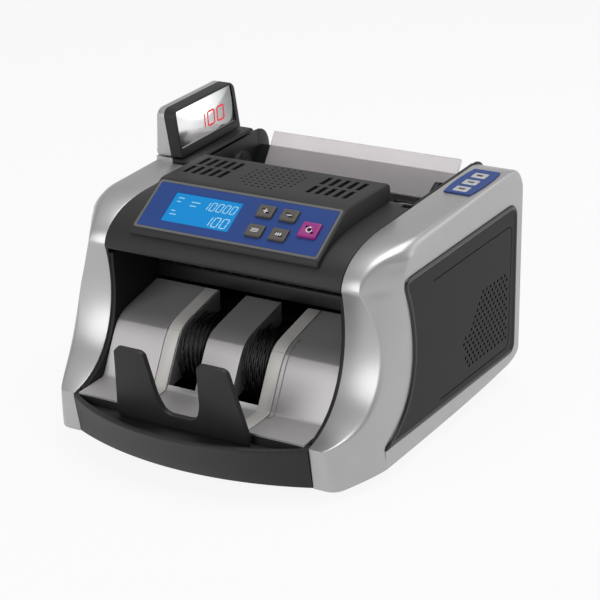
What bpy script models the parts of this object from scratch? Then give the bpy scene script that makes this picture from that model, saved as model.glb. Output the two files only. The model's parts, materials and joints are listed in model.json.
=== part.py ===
"""Banknote counting machine, modelled piece by piece in millimetres and placed in metres.

+X is the operator's right, -Y is the front and +Z is up.  The origin is on the ground
under the middle of the machine.
"""
import math

import bmesh
import bpy
from mathutils import Matrix, Vector
from mathutils.geometry import interpolate_bezier

MM = 0.001
GAP = 0.3

# Body outline seen from the side, as (y, z)
BASE_BOTTOM = 6.0
TOE_BOTTOM = (-114.0, BASE_BOTTOM)
TOE_TOP = (-120.0, 38.2)
SCOOP_HANDLES = ((-66.0, 48.0), (-63.0, 105.0))
WAIST = (-73.5, 136.3)
NOSE_HANDLES = ((-71.0, 153.0), (-48.0, 162.3))
ROOF_FRONT = (-18.0, 163.7)
ROOF_REAR = (122.0, 170.09)
REAR_TOP = (148.3, 154.0)
REAR_FOOT = (147.0, 22.0)
HEEL = (128.0, 10.5)
RUN_STEPS = (2, 12, 8, 5, 4, 3, 3, 6)
SCOOP_RUN, NOSE_RUN = 1, 2
ROOF_SLOPE = (ROOF_REAR[1] - ROOF_FRONT[1]) / (ROOF_REAR[0] - ROOF_FRONT[0])
ROOF_PITCH = math.atan(ROOF_SLOPE)

# Side panels and covers, as distances from the middle plane
PANEL_INNER = 98.0
PANEL_SIDE = 131.0
COVER_FACE = 132.0
COVER_THICK = 2.5
COVER_SEAT = 129.2
PANEL_WALL = 3.0
ROLL_SHARES = (0.0, 0.25, 0.5, 0.75, 1.0)

# Where each run of the outline starts: crease distance from the middle plane, the inward
# shift (y, z) from crease to flat side, and how strongly the wall between them curls
FLARE = (
    (115.5, 46.0, 3.0, 1.3),
    (109.0, 43.0, -8.0, 1.25),
    (112.3, 27.0, 1.0, 1.05),
    (129.0, 3.0, -10.0, 2.0),
    (130.4, -2.0, -10.0, 2.0),
    (128.0, -3.0, -4.0, 2.0),
    (128.0, -3.0, 3.0, 2.0),
    (126.0, -3.0, 6.0, 2.0),
)

# Along the scoop the crease swells and the wall curls more, most of all below the middle
SCOOP_BULGE = 18.5
SCOOP_CURL = 1.6
SCOOP_SKEW = 0.82
NOSE_EASE = 1.5

# Frame plates that carry the shafts
FRAME_INNER = 94.7
FRAME_OUTER = 97.7
CLEAR_HALF = FRAME_INNER - GAP

# Sheet and shell thicknesses
SHELL = 2.5
SHEET = 2.0
PLATE = 1.5

# Shafts, as (y, z), and the radii of what turns on them
PICKUP_AXIS = (92.5, 95.3)
FEED_AXIS = (46.0, 89.8)
STACKER_AXIS = (-46.0, 54.0)
MOTOR_AXIS = (62.0, 34.0)
SHAFT_RADIUS = 4.0
PICKUP_RADIUS = 16.0
FEED_RADIUS = 20.0
WHEEL_RADIUS = 35.0
ROLLER_SPAN = (22.0, 46.0)
WHEEL_SPAN = (17.0, 36.0)
PULLEY_SPAN = (104.0, 112.0)
BELT_SPAN = (105.0, 111.0)
PULLEY_RADII = {"stacker": 14.0, "feed": 12.0, "pickup": 10.0, "motor": 9.0}
BELT_THICK = 1.6
BELT_GAP = 0.35

# Hopper bed, as (y, z)
BED_TOP = (133.55, 158.0)
BED_LEAN = math.radians(34.4)
BED_CORNER = 30.0
BED_FLAT = 109.0
BED_FRONT = (-13.6, 107.2)
APRON_BOTTOM = 95.0

# Note guides of the hopper: the rod they slide on as (y, z), their width and their travel
GUIDE_ROD = (125.5, 131.0)
ROD_RADIUS = 3.0
GUIDE_SPAN = (84.0, 88.0)
GUIDE_TRAVEL = 45.0

# Console slope that carries the keypad: its lower edge, and sizes along the slope
SLOPE_FOOT = (-69.4, 152.4)
SLOPE_HEAD = (-28.0, 178.4)
SLOPE_ANGLE = math.atan2(SLOPE_HEAD[1] - SLOPE_FOOT[1], SLOPE_HEAD[0] - SLOPE_FOOT[0])
CONSOLE_HALF = 78.0
OVERLAY_HALF = 74.0
OVERLAY_RUN = (4.0, 45.0)
LCD_WINDOW = (-57.5, -1.0, 11.0, 38.0)
KEY_SIZE = (13.0, 10.5)
RESET_SIZE = (14.4, 13.0)
KEYS = {
    "plus_key": (20.0, 33.6, KEY_SIZE),
    "minus_key": (39.3, 33.4, KEY_SIZE),
    "batch_key": (20.0, 15.7, KEY_SIZE),
    "mode_key": (39.3, 15.8, KEY_SIZE),
    "reset_key": (60.0, 24.2, RESET_SIZE),
}

# Function keys on the right panel's top
FUNCTION_CENTRE = (115.0, 91.5)
FUNCTION_KEY_SIZE = (11.4, 9.6)
FUNCTION_KEYS = {"function_key_front": -17.0, "function_key_middle": -2.1, "function_key_rear": 13.0}

# Customer display on the left panel's top
DISPLAY_PIVOT = (-119.0, 80.0)
DISPLAY_LIFT = 4.2
DISPLAY_HALF = 42.0
DISPLAY_HEIGHT = 37.5
DISPLAY_CLEARANCE = 0.8
PIN_RADIUS = 4.5

# Stacker
STACKER_HALF = 94.0
SLOT_SPAN = (15.0, 38.0)
STRIP_SPAN = (38.6, 49.0)
STRIP_TOP, STRIP_FOOT = (-17.0, 92.8), (-117.0, 39.45)
FLANGE = 1.2
FLANGE_DEPTH = 9.0
FIN_COUNT = 12

# Base
BASE_LIP = 37.5
DECK_REAR = -112.0
TRAY_TOP = 12.0
BASE_REAR = 132.0
FEET = {
    "foot_front_left": (-75.0, -92.0),
    "foot_front_right": (75.0, -92.0),
    "foot_rear_left": (-75.0, 112.0),
    "foot_rear_right": (75.0, 112.0),
}

# Rear cover and mains inlet
REAR_FACE = 146.0
INLET = (58.0, 34.0)
INLET_HALF = (24.7, 11.2)
FLANGE_HALF = (28.0, 14.0)
SOCKET_X = 67.5
ROCKER_X = 43.5
ROCKER_AXIS_Y = 144.5
ROCKER_OFF = math.radians(-8.0)


def clear_scene():
    for leftover in list(bpy.data.objects):
        bpy.data.objects.remove(leftover, do_unlink=True)


def make_finish(name, colour, roughness, metallic=0.0):
    finish = bpy.data.materials.new(name)
    finish.use_nodes = True
    shader = finish.node_tree.nodes["Principled BSDF"]
    shader.inputs["Base Color"].default_value = (*colour, 1.0)
    shader.inputs["Roughness"].default_value = roughness
    shader.inputs["Metallic"].default_value = metallic
    return finish


# Outlines

def roof(y):
    """Height of the sloping roof line at a distance y from the middle."""
    return ROOF_FRONT[1] + (y - ROOF_FRONT[0]) * ROOF_SLOPE


def mix(a, b, share):
    return a + (b - a) * share


def line(start, end, steps):
    return [(mix(start[0], end[0], i / steps), mix(start[1], end[1], i / steps)) for i in range(steps)]


def bezier(start, handle_a, handle_b, end, steps):
    knots = [Vector((*point, 0.0)) for point in (start, handle_a, handle_b, end)]
    return [(p.x, p.y) for p in interpolate_bezier(*knots, steps + 1)][:-1]


def arc(centre, radius, start, end, steps):
    """Points on an arc between two angles in degrees, both ends included."""
    turns = [math.radians(mix(start, end, i / steps)) for i in range(steps + 1)]
    return [(centre[0] + radius * math.cos(t), centre[1] + radius * math.sin(t)) for t in turns]


def rounded(corners, steps=3):
    """Closed outline from (u, v, radius) corners, each turned with a short curve."""
    outline = []
    for i, (u, v, radius) in enumerate(corners):
        here = Vector((u, v))
        before = (Vector(corners[i - 1][:2]) - here).normalized()
        after = (Vector(corners[(i + 1) % len(corners)][:2]) - here).normalized()
        if radius == 0.0:
            outline.append((u, v))
            continue
        start, end = here + before * radius, here + after * radius
        outline += bezier(start, here + before * radius * 0.45, here + after * radius * 0.45, end, steps)
        outline.append((end.x, end.y))
    return outline


def shifted(points, distance, closed=True):
    """Outline moved sideways by a distance, to the left of its direction of travel."""
    count = len(points)
    moved = []
    for i, point in enumerate(points):
        here = Vector(point)
        before = Vector(points[i - 1]) if closed or i > 0 else None
        after = Vector(points[(i + 1) % count]) if closed or i < count - 1 else None
        sides = []
        if before is not None:
            sides.append((here - before).normalized())
        if after is not None:
            sides.append((after - here).normalized())
        normals = [Vector((-s.y, s.x)) for s in sides]
        bisector = sum(normals, Vector((0.0, 0.0))).normalized()
        reach = distance / max(bisector.dot(normals[0]), 0.4)
        moved.append(tuple(here + bisector * reach))
    return moved


def band(path, thickness):
    """Closed outline of a bent sheet whose face follows a path."""
    return path + shifted(path, thickness, closed=False)[::-1]


# Meshes

PLACE = {
    "x": lambda u, v, w: (w, u, v),
    "y": lambda u, v, w: (u, w, v),
    "z": lambda u, v, w: (u, v, w),
}


def prism(outline, axis, low, high, bm=None):
    """Extrude an outline along one axis."""
    bm = bm or bmesh.new()
    place = PLACE[axis]
    face = bm.faces.new([bm.verts.new(place(u, v, low)) for u, v in outline])
    grown = bmesh.ops.extrude_face_region(bm, geom=[face])["geom"]
    moved = [item for item in grown if isinstance(item, bmesh.types.BMVert)]
    bmesh.ops.translate(bm, vec=place(0.0, 0.0, high - low), verts=moved)
    return bm


def block(low, high, bm=None):
    bm = bm or bmesh.new()
    size = [b - a for a, b in zip(low, high)]
    middle = [(a + b) / 2 for a, b in zip(low, high)]
    bmesh.ops.create_cube(bm, size=1.0, matrix=Matrix.Translation(middle) @ Matrix.Diagonal((*size, 1.0)))
    return bm


def loft(loops, closed=False, bm=None):
    """Skin a row of loops with equal counts, capped at both ends or closed on itself."""
    bm = bm or bmesh.new()
    rings = [[bm.verts.new(point) for point in loop] for loop in loops]
    count = len(rings[0])
    pairs = list(zip(rings, rings[1:]))
    if closed:
        pairs.append((rings[-1], rings[0]))
    else:
        bm.faces.new(rings[0])
        bm.faces.new(rings[-1])
    for near, far in pairs:
        for i in range(count):
            j = (i + 1) % count
            bm.faces.new((near[i], near[j], far[j], far[i]))
    return bm


def turned(profile, centre, axis="x", sides=16, closed=False, bm=None):
    """Turn a profile of (distance along the axis, radius) about that axis."""
    place = PLACE[axis]
    loops = []
    for along, radius in profile:
        ring = arc(centre, radius, 0.0, 360.0 - 360.0 / sides, sides - 1)
        loops.append([place(u, v, along) for u, v in ring])
    return loft(loops, closed, bm)


def add_mesh(name, bm, origin):
    bmesh.ops.recalc_face_normals(bm, faces=bm.faces)
    bmesh.ops.translate(bm, vec=-Vector(origin), verts=bm.verts)
    bmesh.ops.scale(bm, vec=(MM, MM, MM), verts=bm.verts)
    mesh = bpy.data.meshes.new(name)
    bm.to_mesh(mesh)
    bm.free()
    piece = bpy.data.objects.new(name, mesh)
    bpy.context.scene.collection.objects.link(piece)
    piece.location = Vector(origin) * MM
    return piece


def add_piece(name, bm, finish, origin=(0.0, 0.0, 0.0), smooth=False):
    """Named object whose mesh was drawn in place, standing on the given origin."""
    piece = add_mesh(name, bm, origin)
    piece.data.materials.append(finish)
    if smooth:
        piece.data.shade_smooth()
        piece.data.set_sharp_from_angle(angle=math.radians(35.0))
    return piece


def tilt(piece, place, angle):
    """Put a piece drawn about the origin at its place, turned about X."""
    piece.location = Vector(place) * MM
    piece.rotation_euler.x = angle
    return piece


def join_shape(piece, bm, operation, label):
    """Cut a helper shape from a piece, or weld it on, in the piece's own frame."""
    helper = add_mesh(piece.name + "_" + label, bm, (0.0, 0.0, 0.0))
    helper.hide_render = True
    helper.display_type = "WIRE"
    step = piece.modifiers.new(label, "BOOLEAN")
    step.operation = operation
    step.solver = "EXACT"
    step.object = helper
    return helper


def cut(piece, bm, label):
    return join_shape(piece, bm, "DIFFERENCE", label)


def weld(piece, bm, label):
    return join_shape(piece, bm, "UNION", label)


def soften(piece, width, segments=1, angle=40.0):
    step = piece.modifiers.new("soft_edges", "BEVEL")
    step.width = width * MM
    step.segments = segments
    step.limit_method = "ANGLE"
    step.angle_limit = math.radians(angle)


# Side panels, covers and frame plates

def body_runs():
    """The eight runs of the side outline, clockwise from the toe's bottom."""
    steps = RUN_STEPS
    return [
        line(TOE_BOTTOM, TOE_TOP, steps[0]),
        bezier(TOE_TOP, *SCOOP_HANDLES, WAIST, steps[1]),
        bezier(WAIST, *NOSE_HANDLES, ROOF_FRONT, steps[2]),
        line(ROOF_FRONT, ROOF_REAR, steps[3]),
        bezier(ROOF_REAR, (136.0, 170.7), (148.0, 165.0), REAR_TOP, steps[4]),
        line(REAR_TOP, REAR_FOOT, steps[5]),
        bezier(REAR_FOOT, (146.5, 16.0), (139.0, 12.5), HEEL, steps[6]),
        bezier(HEEL, (90.0, 8.5), (50.0, BASE_BOTTOM), TOE_BOTTOM, steps[7]),
    ]


def cover_runs():
    """The side cover's outline, in runs that match those of the body."""
    steps = RUN_STEPS
    tip_low, tip_high = (-72.0, 24.0), (-70.5, 27.0)
    front_top, top_front, top_rear = (-45.0, 139.6), (-18.0, 140.3), (122.0, 143.6)
    rear_top, rear_low, heel = (134.0, 132.0), (134.0, 34.0), (125.0, 24.0)
    return [
        line(tip_low, tip_high, steps[0]),
        bezier(tip_high, (-18.0, 45.0), (-27.0, 100.0), front_top, steps[1]),
        line(front_top, top_front, steps[2]),
        line(top_front, top_rear, steps[3]),
        bezier(top_rear, (130.0, 143.8), (134.0, 140.0), rear_top, steps[4]),
        line(rear_top, rear_low, steps[5]),
        bezier(rear_low, (134.0, 28.0), (131.0, 24.0), heel, steps[6]),
        line(heel, tip_low, steps[7]),
    ]


def flat(runs):
    return [point for run in runs for point in run]


def flare_values():
    """The flare at every outline point, spread along each run."""
    values = []
    for run, steps in enumerate(RUN_STEPS):
        start, end = FLARE[run], FLARE[(run + 1) % len(FLARE)]
        for i in range(steps):
            share = i / steps
            swell = 0.0
            if run == SCOOP_RUN:
                swell = math.sin(math.pi * share ** SCOOP_SKEW)
            if run == NOSE_RUN:
                eased = share ** NOSE_EASE
                share = eased * eased * (3.0 - 2.0 * eased)
            crease, dy, dz, curl = (mix(a, b, share) for a, b in zip(start, end))
            values.append((crease + SCOOP_BULGE * swell, dy, dz, curl + SCOOP_CURL * swell))
    return values


def panel_loops():
    """Rings of the moulded panel, out over its face, in through the opening and back."""
    outline = flat(body_runs())
    seat = shifted(flat(cover_runs()), 0.4)
    opening = shifted(flat(cover_runs()), -6.0)
    values = flare_values()
    rolls = []
    for share in ROLL_SHARES:
        ring = []
        for (y, z), (crease, dy, dz, curl) in zip(outline, values):
            rise = 1.0 - (1.0 - share) ** curl
            ring.append((mix(crease, PANEL_SIDE, rise), y + dy * share, z + dz * share))
        rolls.append(ring)
    side_line = [(y, z) for _, y, z in rolls[-1]]
    back = COVER_SEAT - SHELL
    inner_edge = shifted(outline, -PANEL_WALL)
    inner_roll = shifted(outline, -PANEL_WALL - 0.5)
    return [
        [(PANEL_INNER, y, z) for y, z in outline],
        *rolls,
        [(PANEL_SIDE, y, z) for y, z in seat],
        [(COVER_SEAT, y, z) for y, z in seat],
        [(COVER_SEAT, y, z) for y, z in opening],
        [(back, y, z) for y, z in opening],
        [(back, y, z) for y, z in shifted(side_line, -1.5)],
        [(value[0] - 4.0, y, z) for value, (y, z) in zip(values, inner_roll)],
        [(PANEL_INNER, y, z) for y, z in inner_edge],
    ]


def mirrored(loops, side):
    return [[(side * x, y, z) for x, y, z in loop] for loop in loops]


def grille_points():
    """Staggered hole centres inside the rounded field of the side grille, as (y, z)."""
    centre, half, pitch = (82.0, 66.0), (37.0, 27.0), 8.4
    points = []
    for row in range(-4, 5):
        for column in range(-6, 7):
            y = (column + 0.5 * (row % 2)) * pitch
            z = row * pitch * 0.8
            if abs(y / half[0]) ** 2.6 + abs(z / half[1]) ** 2.6 < 1.0:
                points.append((centre[0] + y, centre[1] + z))
    return points


def add_side(name, side, silver, charcoal):
    shell = loft(mirrored(panel_loops(), side), closed=True)
    panel = add_piece(name + "_side_panel", shell, silver, smooth=True)
    outline = flat(cover_runs())
    edge = shifted(outline, -1.0)
    faces = [
        [(COVER_FACE - COVER_THICK, y, z) for y, z in outline],
        [(COVER_FACE - 0.8, y, z) for y, z in outline],
        [(COVER_FACE, y, z) for y, z in edge],
    ]
    cover = add_piece(name + "_side_cover", loft(mirrored(faces, side)), charcoal)
    holes = bmesh.new()
    low, high = sorted((side * (COVER_FACE + 1.0), side * (COVER_FACE - COVER_THICK - 1.0)))
    for centre in grille_points():
        prism(arc(centre, 1.4, 0.0, 270.0, 3), "x", low, high, holes)
    cut(cover, holes, "grille")
    return panel


def frame_outline():
    """Cheek plate: scooped front, a step below the front cover, and the hopper wall behind."""
    runs = body_runs()
    front = -111.5
    scoop = [p for p in shifted(runs[1] + [WAIST], -1.5, closed=False) if p[0] > front and p[1] < 128.0]
    under = shifted(runs[2] + [ROOF_FRONT, (33.2, roof(33.2))], -3.2, closed=False)
    under = [p for p in under if p[0] > -48.0]
    rear = 131.8
    lip_back = -49.0
    return [
        (front, TRAY_TOP + GAP),
        (front, scoop[0][1]),
        *scoop,
        (-68.6, 129.5),
        (lip_back, 129.5),
        (lip_back, under[0][1] - 0.4),
        *under,
        (33.8, roof(33.8) - 0.6),
        (rear, roof(rear) - 0.6),
        (rear, TRAY_TOP + GAP),
    ]


def add_frame_plate(name, side, black):
    low, high = sorted((side * FRAME_INNER, side * FRAME_OUTER))
    plate = add_piece(name + "_frame_plate", prism(frame_outline(), "x", low, high), black)
    bores = bmesh.new()
    reach = (low - 1.0, high + 1.0)
    for axis in (PICKUP_AXIS, FEED_AXIS, STACKER_AXIS):
        prism(arc(axis, SHAFT_RADIUS + GAP, 0.0, 337.5, 15), "x", *reach, bores)
    if side < 0:
        prism(arc(MOTOR_AXIS, 6.0, 0.0, 330.0, 11), "x", *reach, bores)
    cut(plate, bores, "bores")


# Front cover and console

def cover_face():
    """Outer line of the front cover, from its lip up over the nose to the hopper."""
    return body_runs()[2] + [ROOF_FRONT, (33.0, roof(33.0))]


def add_front_cover(charcoal):
    face = cover_face()
    inside = shifted(face, -SHELL, closed=False)
    lip = [(-52.0, 133.4), (-52.0, 130.9), (-72.2, 134.0)]
    profile = face + inside[:0:-1] + [(-69.4, 137.0)] + lip
    cover = add_piece("front_cover", prism(profile, "x", -FRAME_OUTER, FRAME_OUTER), charcoal, smooth=True)
    cut(cover, block((-71.0, -62.0, 149.0), (71.0, 26.0, 172.0)), "cable_opening")


def console_profile():
    return [
        (-70.0, 148.2),
        SLOPE_FOOT,
        SLOPE_HEAD,
        (-23.5, 178.9),
        (31.0, 180.0),
        (34.5, 177.6),
        (36.0, 160.0),
        (-58.0, 141.0),
    ]


def slope_box(u0, u1, s0, s1, w0, w1, bm=None):
    """Box on the console's slope: across, along the slope, and out of it, in place."""
    bm = bm or bmesh.new()
    made = bmesh.new()
    block((u0, s0, w0), (u1, s1, w1), made)
    turn = Matrix.Translation((0.0, *SLOPE_FOOT)) @ Matrix.Rotation(SLOPE_ANGLE, 4, "X")
    bmesh.ops.transform(made, matrix=turn, verts=made.verts)
    shape = bpy.data.meshes.new("slope_box")
    made.to_mesh(shape)
    made.free()
    bm.from_mesh(shape)
    bpy.data.meshes.remove(shape)
    return bm


def vent_boxes():
    slots = bmesh.new()
    width, length, pitch = 4.0, 14.0, 7.0
    for start in (-70.0, 35.0):
        for column in range(5):
            for front in (-9.0, 9.0):
                x = start + column * pitch
                block((x - width / 2, front, 170.0), (x + width / 2, front + length, 190.0), slots)
    return slots


def speaker_holes():
    holes = bmesh.new()
    pitch = 7.4
    for row in range(6):
        for column in range(6):
            x = -24.0 + (column + 0.5 * (row % 2)) * pitch
            y = -10.0 + row * pitch * 0.95
            prism(arc((x, y), 1.2, 0.0, 270.0, 3), "z", 170.0, 190.0, holes)
    return holes


def add_console(charcoal):
    profile = console_profile()
    console = add_piece("control_console", prism(profile, "x", -CONSOLE_HALF, CONSOLE_HALF), charcoal)
    soften(console, 1.2)
    inner = shifted(profile, -SHELL)
    inner[0] = (inner[0][0], 140.0)
    inner[-1] = (-50.0, 130.0)
    inner[-2] = (inner[-2][0], 130.0)
    cut(console, prism(inner, "x", SHELL - CONSOLE_HALF, CONSOLE_HALF - SHELL), "hollow")
    seat = shifted(cover_face() + [(45.0, roof(45.0))], GAP, closed=False)
    cut(console, prism(seat + [(45.0, 100.0), (-78.0, 100.0)], "x", -90.0, 90.0), "cover_seat")
    posts = bmesh.new()
    for u in (-66.0, 66.0):
        for s in (11.0, 41.0):
            slope_box(u - 2.0, u + 2.0, s - 2.0, s + 2.0, -5.9, -2.0, posts)
    weld(console, posts, "posts")
    reach, (front, rear) = OVERLAY_HALF + GAP, OVERLAY_RUN
    cut(console, slope_box(-reach, reach, front - GAP, rear + GAP, -0.9, 5.0), "overlay_recess")
    u0, u1, s0, s1 = LCD_WINDOW
    openings = slope_box(u0 - 1.0, u1 + 1.0, s0 - 1.0, s1 + 1.0, -4.0, 2.0)
    for u, s, (width, length) in KEYS.values():
        half_u, half_s = width / 2 + GAP, length / 2 + GAP
        slope_box(u - half_u, u + half_u, s - half_s, s + half_s, -4.0, 2.0, openings)
    cut(console, openings, "key_openings")
    cut(console, vent_boxes(), "vents")
    cut(console, speaker_holes(), "speaker")


def add_keypad(blue, glass, board_green, key_grey, key_magenta):
    place = (0.0, *SLOPE_FOOT)
    overlay = add_piece(
        "keypad_overlay",
        block((-OVERLAY_HALF, OVERLAY_RUN[0], -0.6), (OVERLAY_HALF, OVERLAY_RUN[1], 0.2)),
        blue,
    )
    tilt(overlay, place, SLOPE_ANGLE)
    u0, u1, s0, s1 = LCD_WINDOW
    windows = slope_box(u0, u1, s0, s1, -3.0, 3.0)
    for u, s, (width, length) in KEYS.values():
        half_u, half_s = width / 2 + GAP, length / 2 + GAP
        slope_box(u - half_u, u + half_u, s - half_s, s + half_s, -3.0, 3.0, windows)
    cut(overlay, windows, "windows")
    lcd = add_piece("lcd_module", block((u0 + GAP, s0 + GAP, -3.4), (u1 - GAP, s1 - GAP, 0.0)), glass)
    tilt(lcd, place, SLOPE_ANGLE)
    weld(lcd, slope_box(u0 - 4.0, u1 + 4.0, s0 - 3.5, s1 + 3.5, -5.9, -2.8), "carrier")
    board = add_piece("keypad_board", block((-69.0, 7.0, -7.8), (69.0, 43.0, -6.2)), board_green)
    tilt(board, place, SLOPE_ANGLE)
    for name, (u, s, (width, length)) in KEYS.items():
        cap = rounded(
            [(-width / 2, -length / 2, 1.2), (width / 2, -length / 2, 1.2),
             (width / 2, length / 2, 1.2), (-width / 2, length / 2, 1.2)], 1)
        shape = loft([[(p, q, -4.4) for p, q in shifted(cap, -1.2)],
                      [(p, q, -2.8) for p, q in shifted(cap, -1.2)],
                      [(p, q, -2.8) for p, q in cap],
                      [(p, q, 1.8) for p, q in cap],
                      [(p, q, 2.2) for p, q in shifted(cap, 0.4)]])
        key = add_piece(name, shape, key_magenta if name == "reset_key" else key_grey)
        turn = Matrix.Rotation(SLOPE_ANGLE, 3, "X")
        centre = Vector(place) + turn @ Vector((u, s, 0.0))
        tilt(key, centre, SLOPE_ANGLE)


def add_function_keys(right_panel, blue, key_silver):
    x, y = FUNCTION_CENTRE
    top = roof(y) + GAP
    corner, belly, end = 10.4, 13.0, 25.9
    edge = bezier((corner, -end), (belly, -end / 3), (belly, end / 3), (corner, end), 6) + [(corner, end)]
    outline = edge + [(-u, -v) for u, v in edge]
    overlay = add_piece("function_overlay", prism(outline, "z", 0.0, 0.8), blue)
    tilt(overlay, (x, y, top), ROOF_PITCH)
    width, length = FUNCTION_KEY_SIZE
    windows, wells = bmesh.new(), bmesh.new()
    turn = Matrix.Rotation(ROOF_PITCH, 3, "X")
    for name, along in FUNCTION_KEYS.items():
        centre = Vector((x, y, top)) + turn @ Vector((0.0, along, 0.0))
        half_u, half_s = width / 2, length / 2
        block((centre.x - half_u - GAP, centre.y - half_s - GAP, centre.z - 2.0),
              (centre.x + half_u + GAP, centre.y + half_s + GAP, centre.z + 3.0), windows)
        block((centre.x - half_u - 1.6, centre.y - half_s - 1.6, centre.z - 9.0),
              (centre.x + half_u + 1.6, centre.y + half_s + 1.6, centre.z + 3.0), wells)
        cap = [(-half_u, -half_s), (half_u, -half_s), (half_u, half_s), (-half_u, half_s)]
        flange = shifted(cap, -1.0)
        shape = loft([[(p, q, -1.8) for p, q in flange], [(p, q, -0.4) for p, q in flange],
                      [(p, q, -0.4) for p, q in cap], [(p, q, 1.0) for p, q in cap],
                      [(p, q, 1.3) for p, q in shifted(cap, 0.3)]])
        key = add_piece(name, shape, key_silver)
        tilt(key, centre, ROOF_PITCH)
    cut(overlay, windows, "windows")
    cut(right_panel, wells, "key_wells")


# Customer display

def add_display(left_panel, silver, charcoal, mirror):
    x, y = DISPLAY_PIVOT
    place = Vector((x, y, roof(y) + DISPLAY_LIFT))
    height, half = DISPLAY_HEIGHT, DISPLAY_HALF
    split_low, split_top = 5.6, 0.2
    back_outline = rounded([(-9.0, 0.0, 0.0), (split_low, 0.0, 0.0), (split_top, height, 0.0),
                            (-6.5, height, 3.0), (-8.6, height - 6.0, 0.0)])
    back = add_piece("display_back", prism(back_outline, "y", -half, half), silver)
    tilt(back, place, ROOF_PITCH)
    turn = Matrix.Translation(place) @ Matrix.Rotation(ROOF_PITCH, 4, "X")

    def placed(bm):
        bmesh.ops.transform(bm, matrix=turn, verts=bm.verts)
        return bm

    cut(back, placed(block((-5.5, 4.0 - half, 5.0), (20.0, half - 4.0, height - 4.0))), "pocket")
    pin = turned([(-3.7, PIN_RADIUS), (2.0, PIN_RADIUS)], (0.0, 0.0), "z", 12)
    weld(back, placed(pin), "pivot_pin")
    face_low, face_top = 15.0, 10.4
    bezel_outline = [(split_low + GAP, 0.0), (face_low, 0.0), (face_top, height), (split_top + GAP, height)]
    bezel = add_piece("display_bezel", prism(bezel_outline, "y", -half, half), charcoal)
    tilt(bezel, place, ROOF_PITCH)
    soften(bezel, 0.8)
    window = (2.5 - half, half - 4.0, 6.0, height - 2.0)
    cut(bezel, placed(block((-6.0, window[0], window[2]), (20.0, window[1], window[3]))), "window_opening")

    def face_at(w):
        return mix(face_low, face_top, w / height) - 0.5

    low, high = window[2] + GAP, window[3] - GAP
    pane = band([(face_at(low), low), (face_at(high), high)], 2.0)
    glass = add_piece("display_window", prism(pane, "y", window[0] + GAP, window[1] - GAP), mirror)
    tilt(glass, place, ROOF_PITCH)

    sole = block((6.4, -half - 2.0, -3.8), (24.6, half + 4.0, -DISPLAY_CLEARANCE))
    plinth = add_piece("display_plinth", sole, charcoal)
    tilt(plinth, place, ROOF_PITCH)
    soften(plinth, 1.2)
    pad = block((-8.5, -half, -DISPLAY_LIFT - 1.0), (6.0, half, -DISPLAY_CLEARANCE))
    weld(left_panel, placed(pad), "display_pad")
    bore = PIN_RADIUS + GAP
    cut(left_panel, placed(turned([(-12.0, bore), (5.0, bore)], (0.0, 0.0), "z", 12)), "pivot_bore")


# Hopper

def bed_path():
    """Face of the hopper bed, from the top of its slope forward to the foot of the apron."""
    lean = math.degrees(BED_LEAN)
    centre_z = BED_FLAT + BED_CORNER
    slope_end = centre_z - BED_CORNER * math.sin(BED_LEAN)
    slope_y = BED_TOP[0] - (BED_TOP[1] - slope_end) * math.tan(BED_LEAN)
    centre = (slope_y - BED_CORNER * math.cos(BED_LEAN), centre_z)
    curve = arc(centre, BED_CORNER, -lean, -90.0, 7)
    brow = arc((BED_FRONT[0] + 3.0, BED_FRONT[1] - 3.0), 3.0, 90.0, 180.0, 3)
    return [BED_TOP, *curve, *brow, (BED_FRONT[0], APRON_BOTTOM)]


def roller_slots():
    slots = bmesh.new()
    inner, outer = ROLLER_SPAN[0] - 1.5, ROLLER_SPAN[1] + 1.5
    for low, high in ((inner, outer), (-outer, -inner)):
        block((low, FEED_AXIS[0] - 14.0, 100.0), (high, FEED_AXIS[0] + 14.0, 115.0), slots)
        block((low, PICKUP_AXIS[0] - 13.0, 100.0), (high, PICKUP_AXIS[0] + 12.0, 121.0), slots)
    return slots


def add_hopper(black, tinted, steel):
    bent = prism(band(bed_path(), SHEET), "x", -CLEAR_HALF, CLEAR_HALF)
    bed = add_piece("hopper_bed", bent, black, smooth=True)
    cut(bed, roller_slots(), "roller_slots")
    arms = bmesh.new()
    inner, outer = GUIDE_SPAN[0] - GUIDE_TRAVEL - 2.0, GUIDE_SPAN[1] + 2.0
    for low, high in ((inner, outer), (-outer, -inner)):
        block((low, 100.0, GUIDE_ROD[1] - 5.0), (high, 130.0, GUIDE_ROD[1] + 5.0), arms)
    cut(bed, arms, "guide_slots")

    wall = [(35.6, 165.3), *arc((25.6, 121.0), 10.0, 0.0, -90.0, 4), (-2.0, 110.0)]
    bent = prism(band(wall, -SHEET), "x", -CLEAR_HALF, CLEAR_HALF)
    add_piece("hopper_front_plate", bent, black, smooth=True)

    lean = math.tan(BED_LEAN)
    low_z, high_z = 141.0, 169.8
    face_y = 138.2
    face = [(face_y - (high_z - low_z) * lean, low_z), (face_y, high_z)]
    guide = add_piece("hopper_rear_guide", prism(band(face, -2.5), "x", -83.0, 83.0), tinted)
    soften(guide, 0.6)

    rod = turned([(-CLEAR_HALF, ROD_RADIUS), (CLEAR_HALF, ROD_RADIUS)], GUIDE_ROD, "x", 12)
    add_piece("guide_rod", rod, steel, smooth=True)
    for name, side in (("left_note_guide", -1), ("right_note_guide", 1)):
        add_note_guide(name, side, black)


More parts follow.
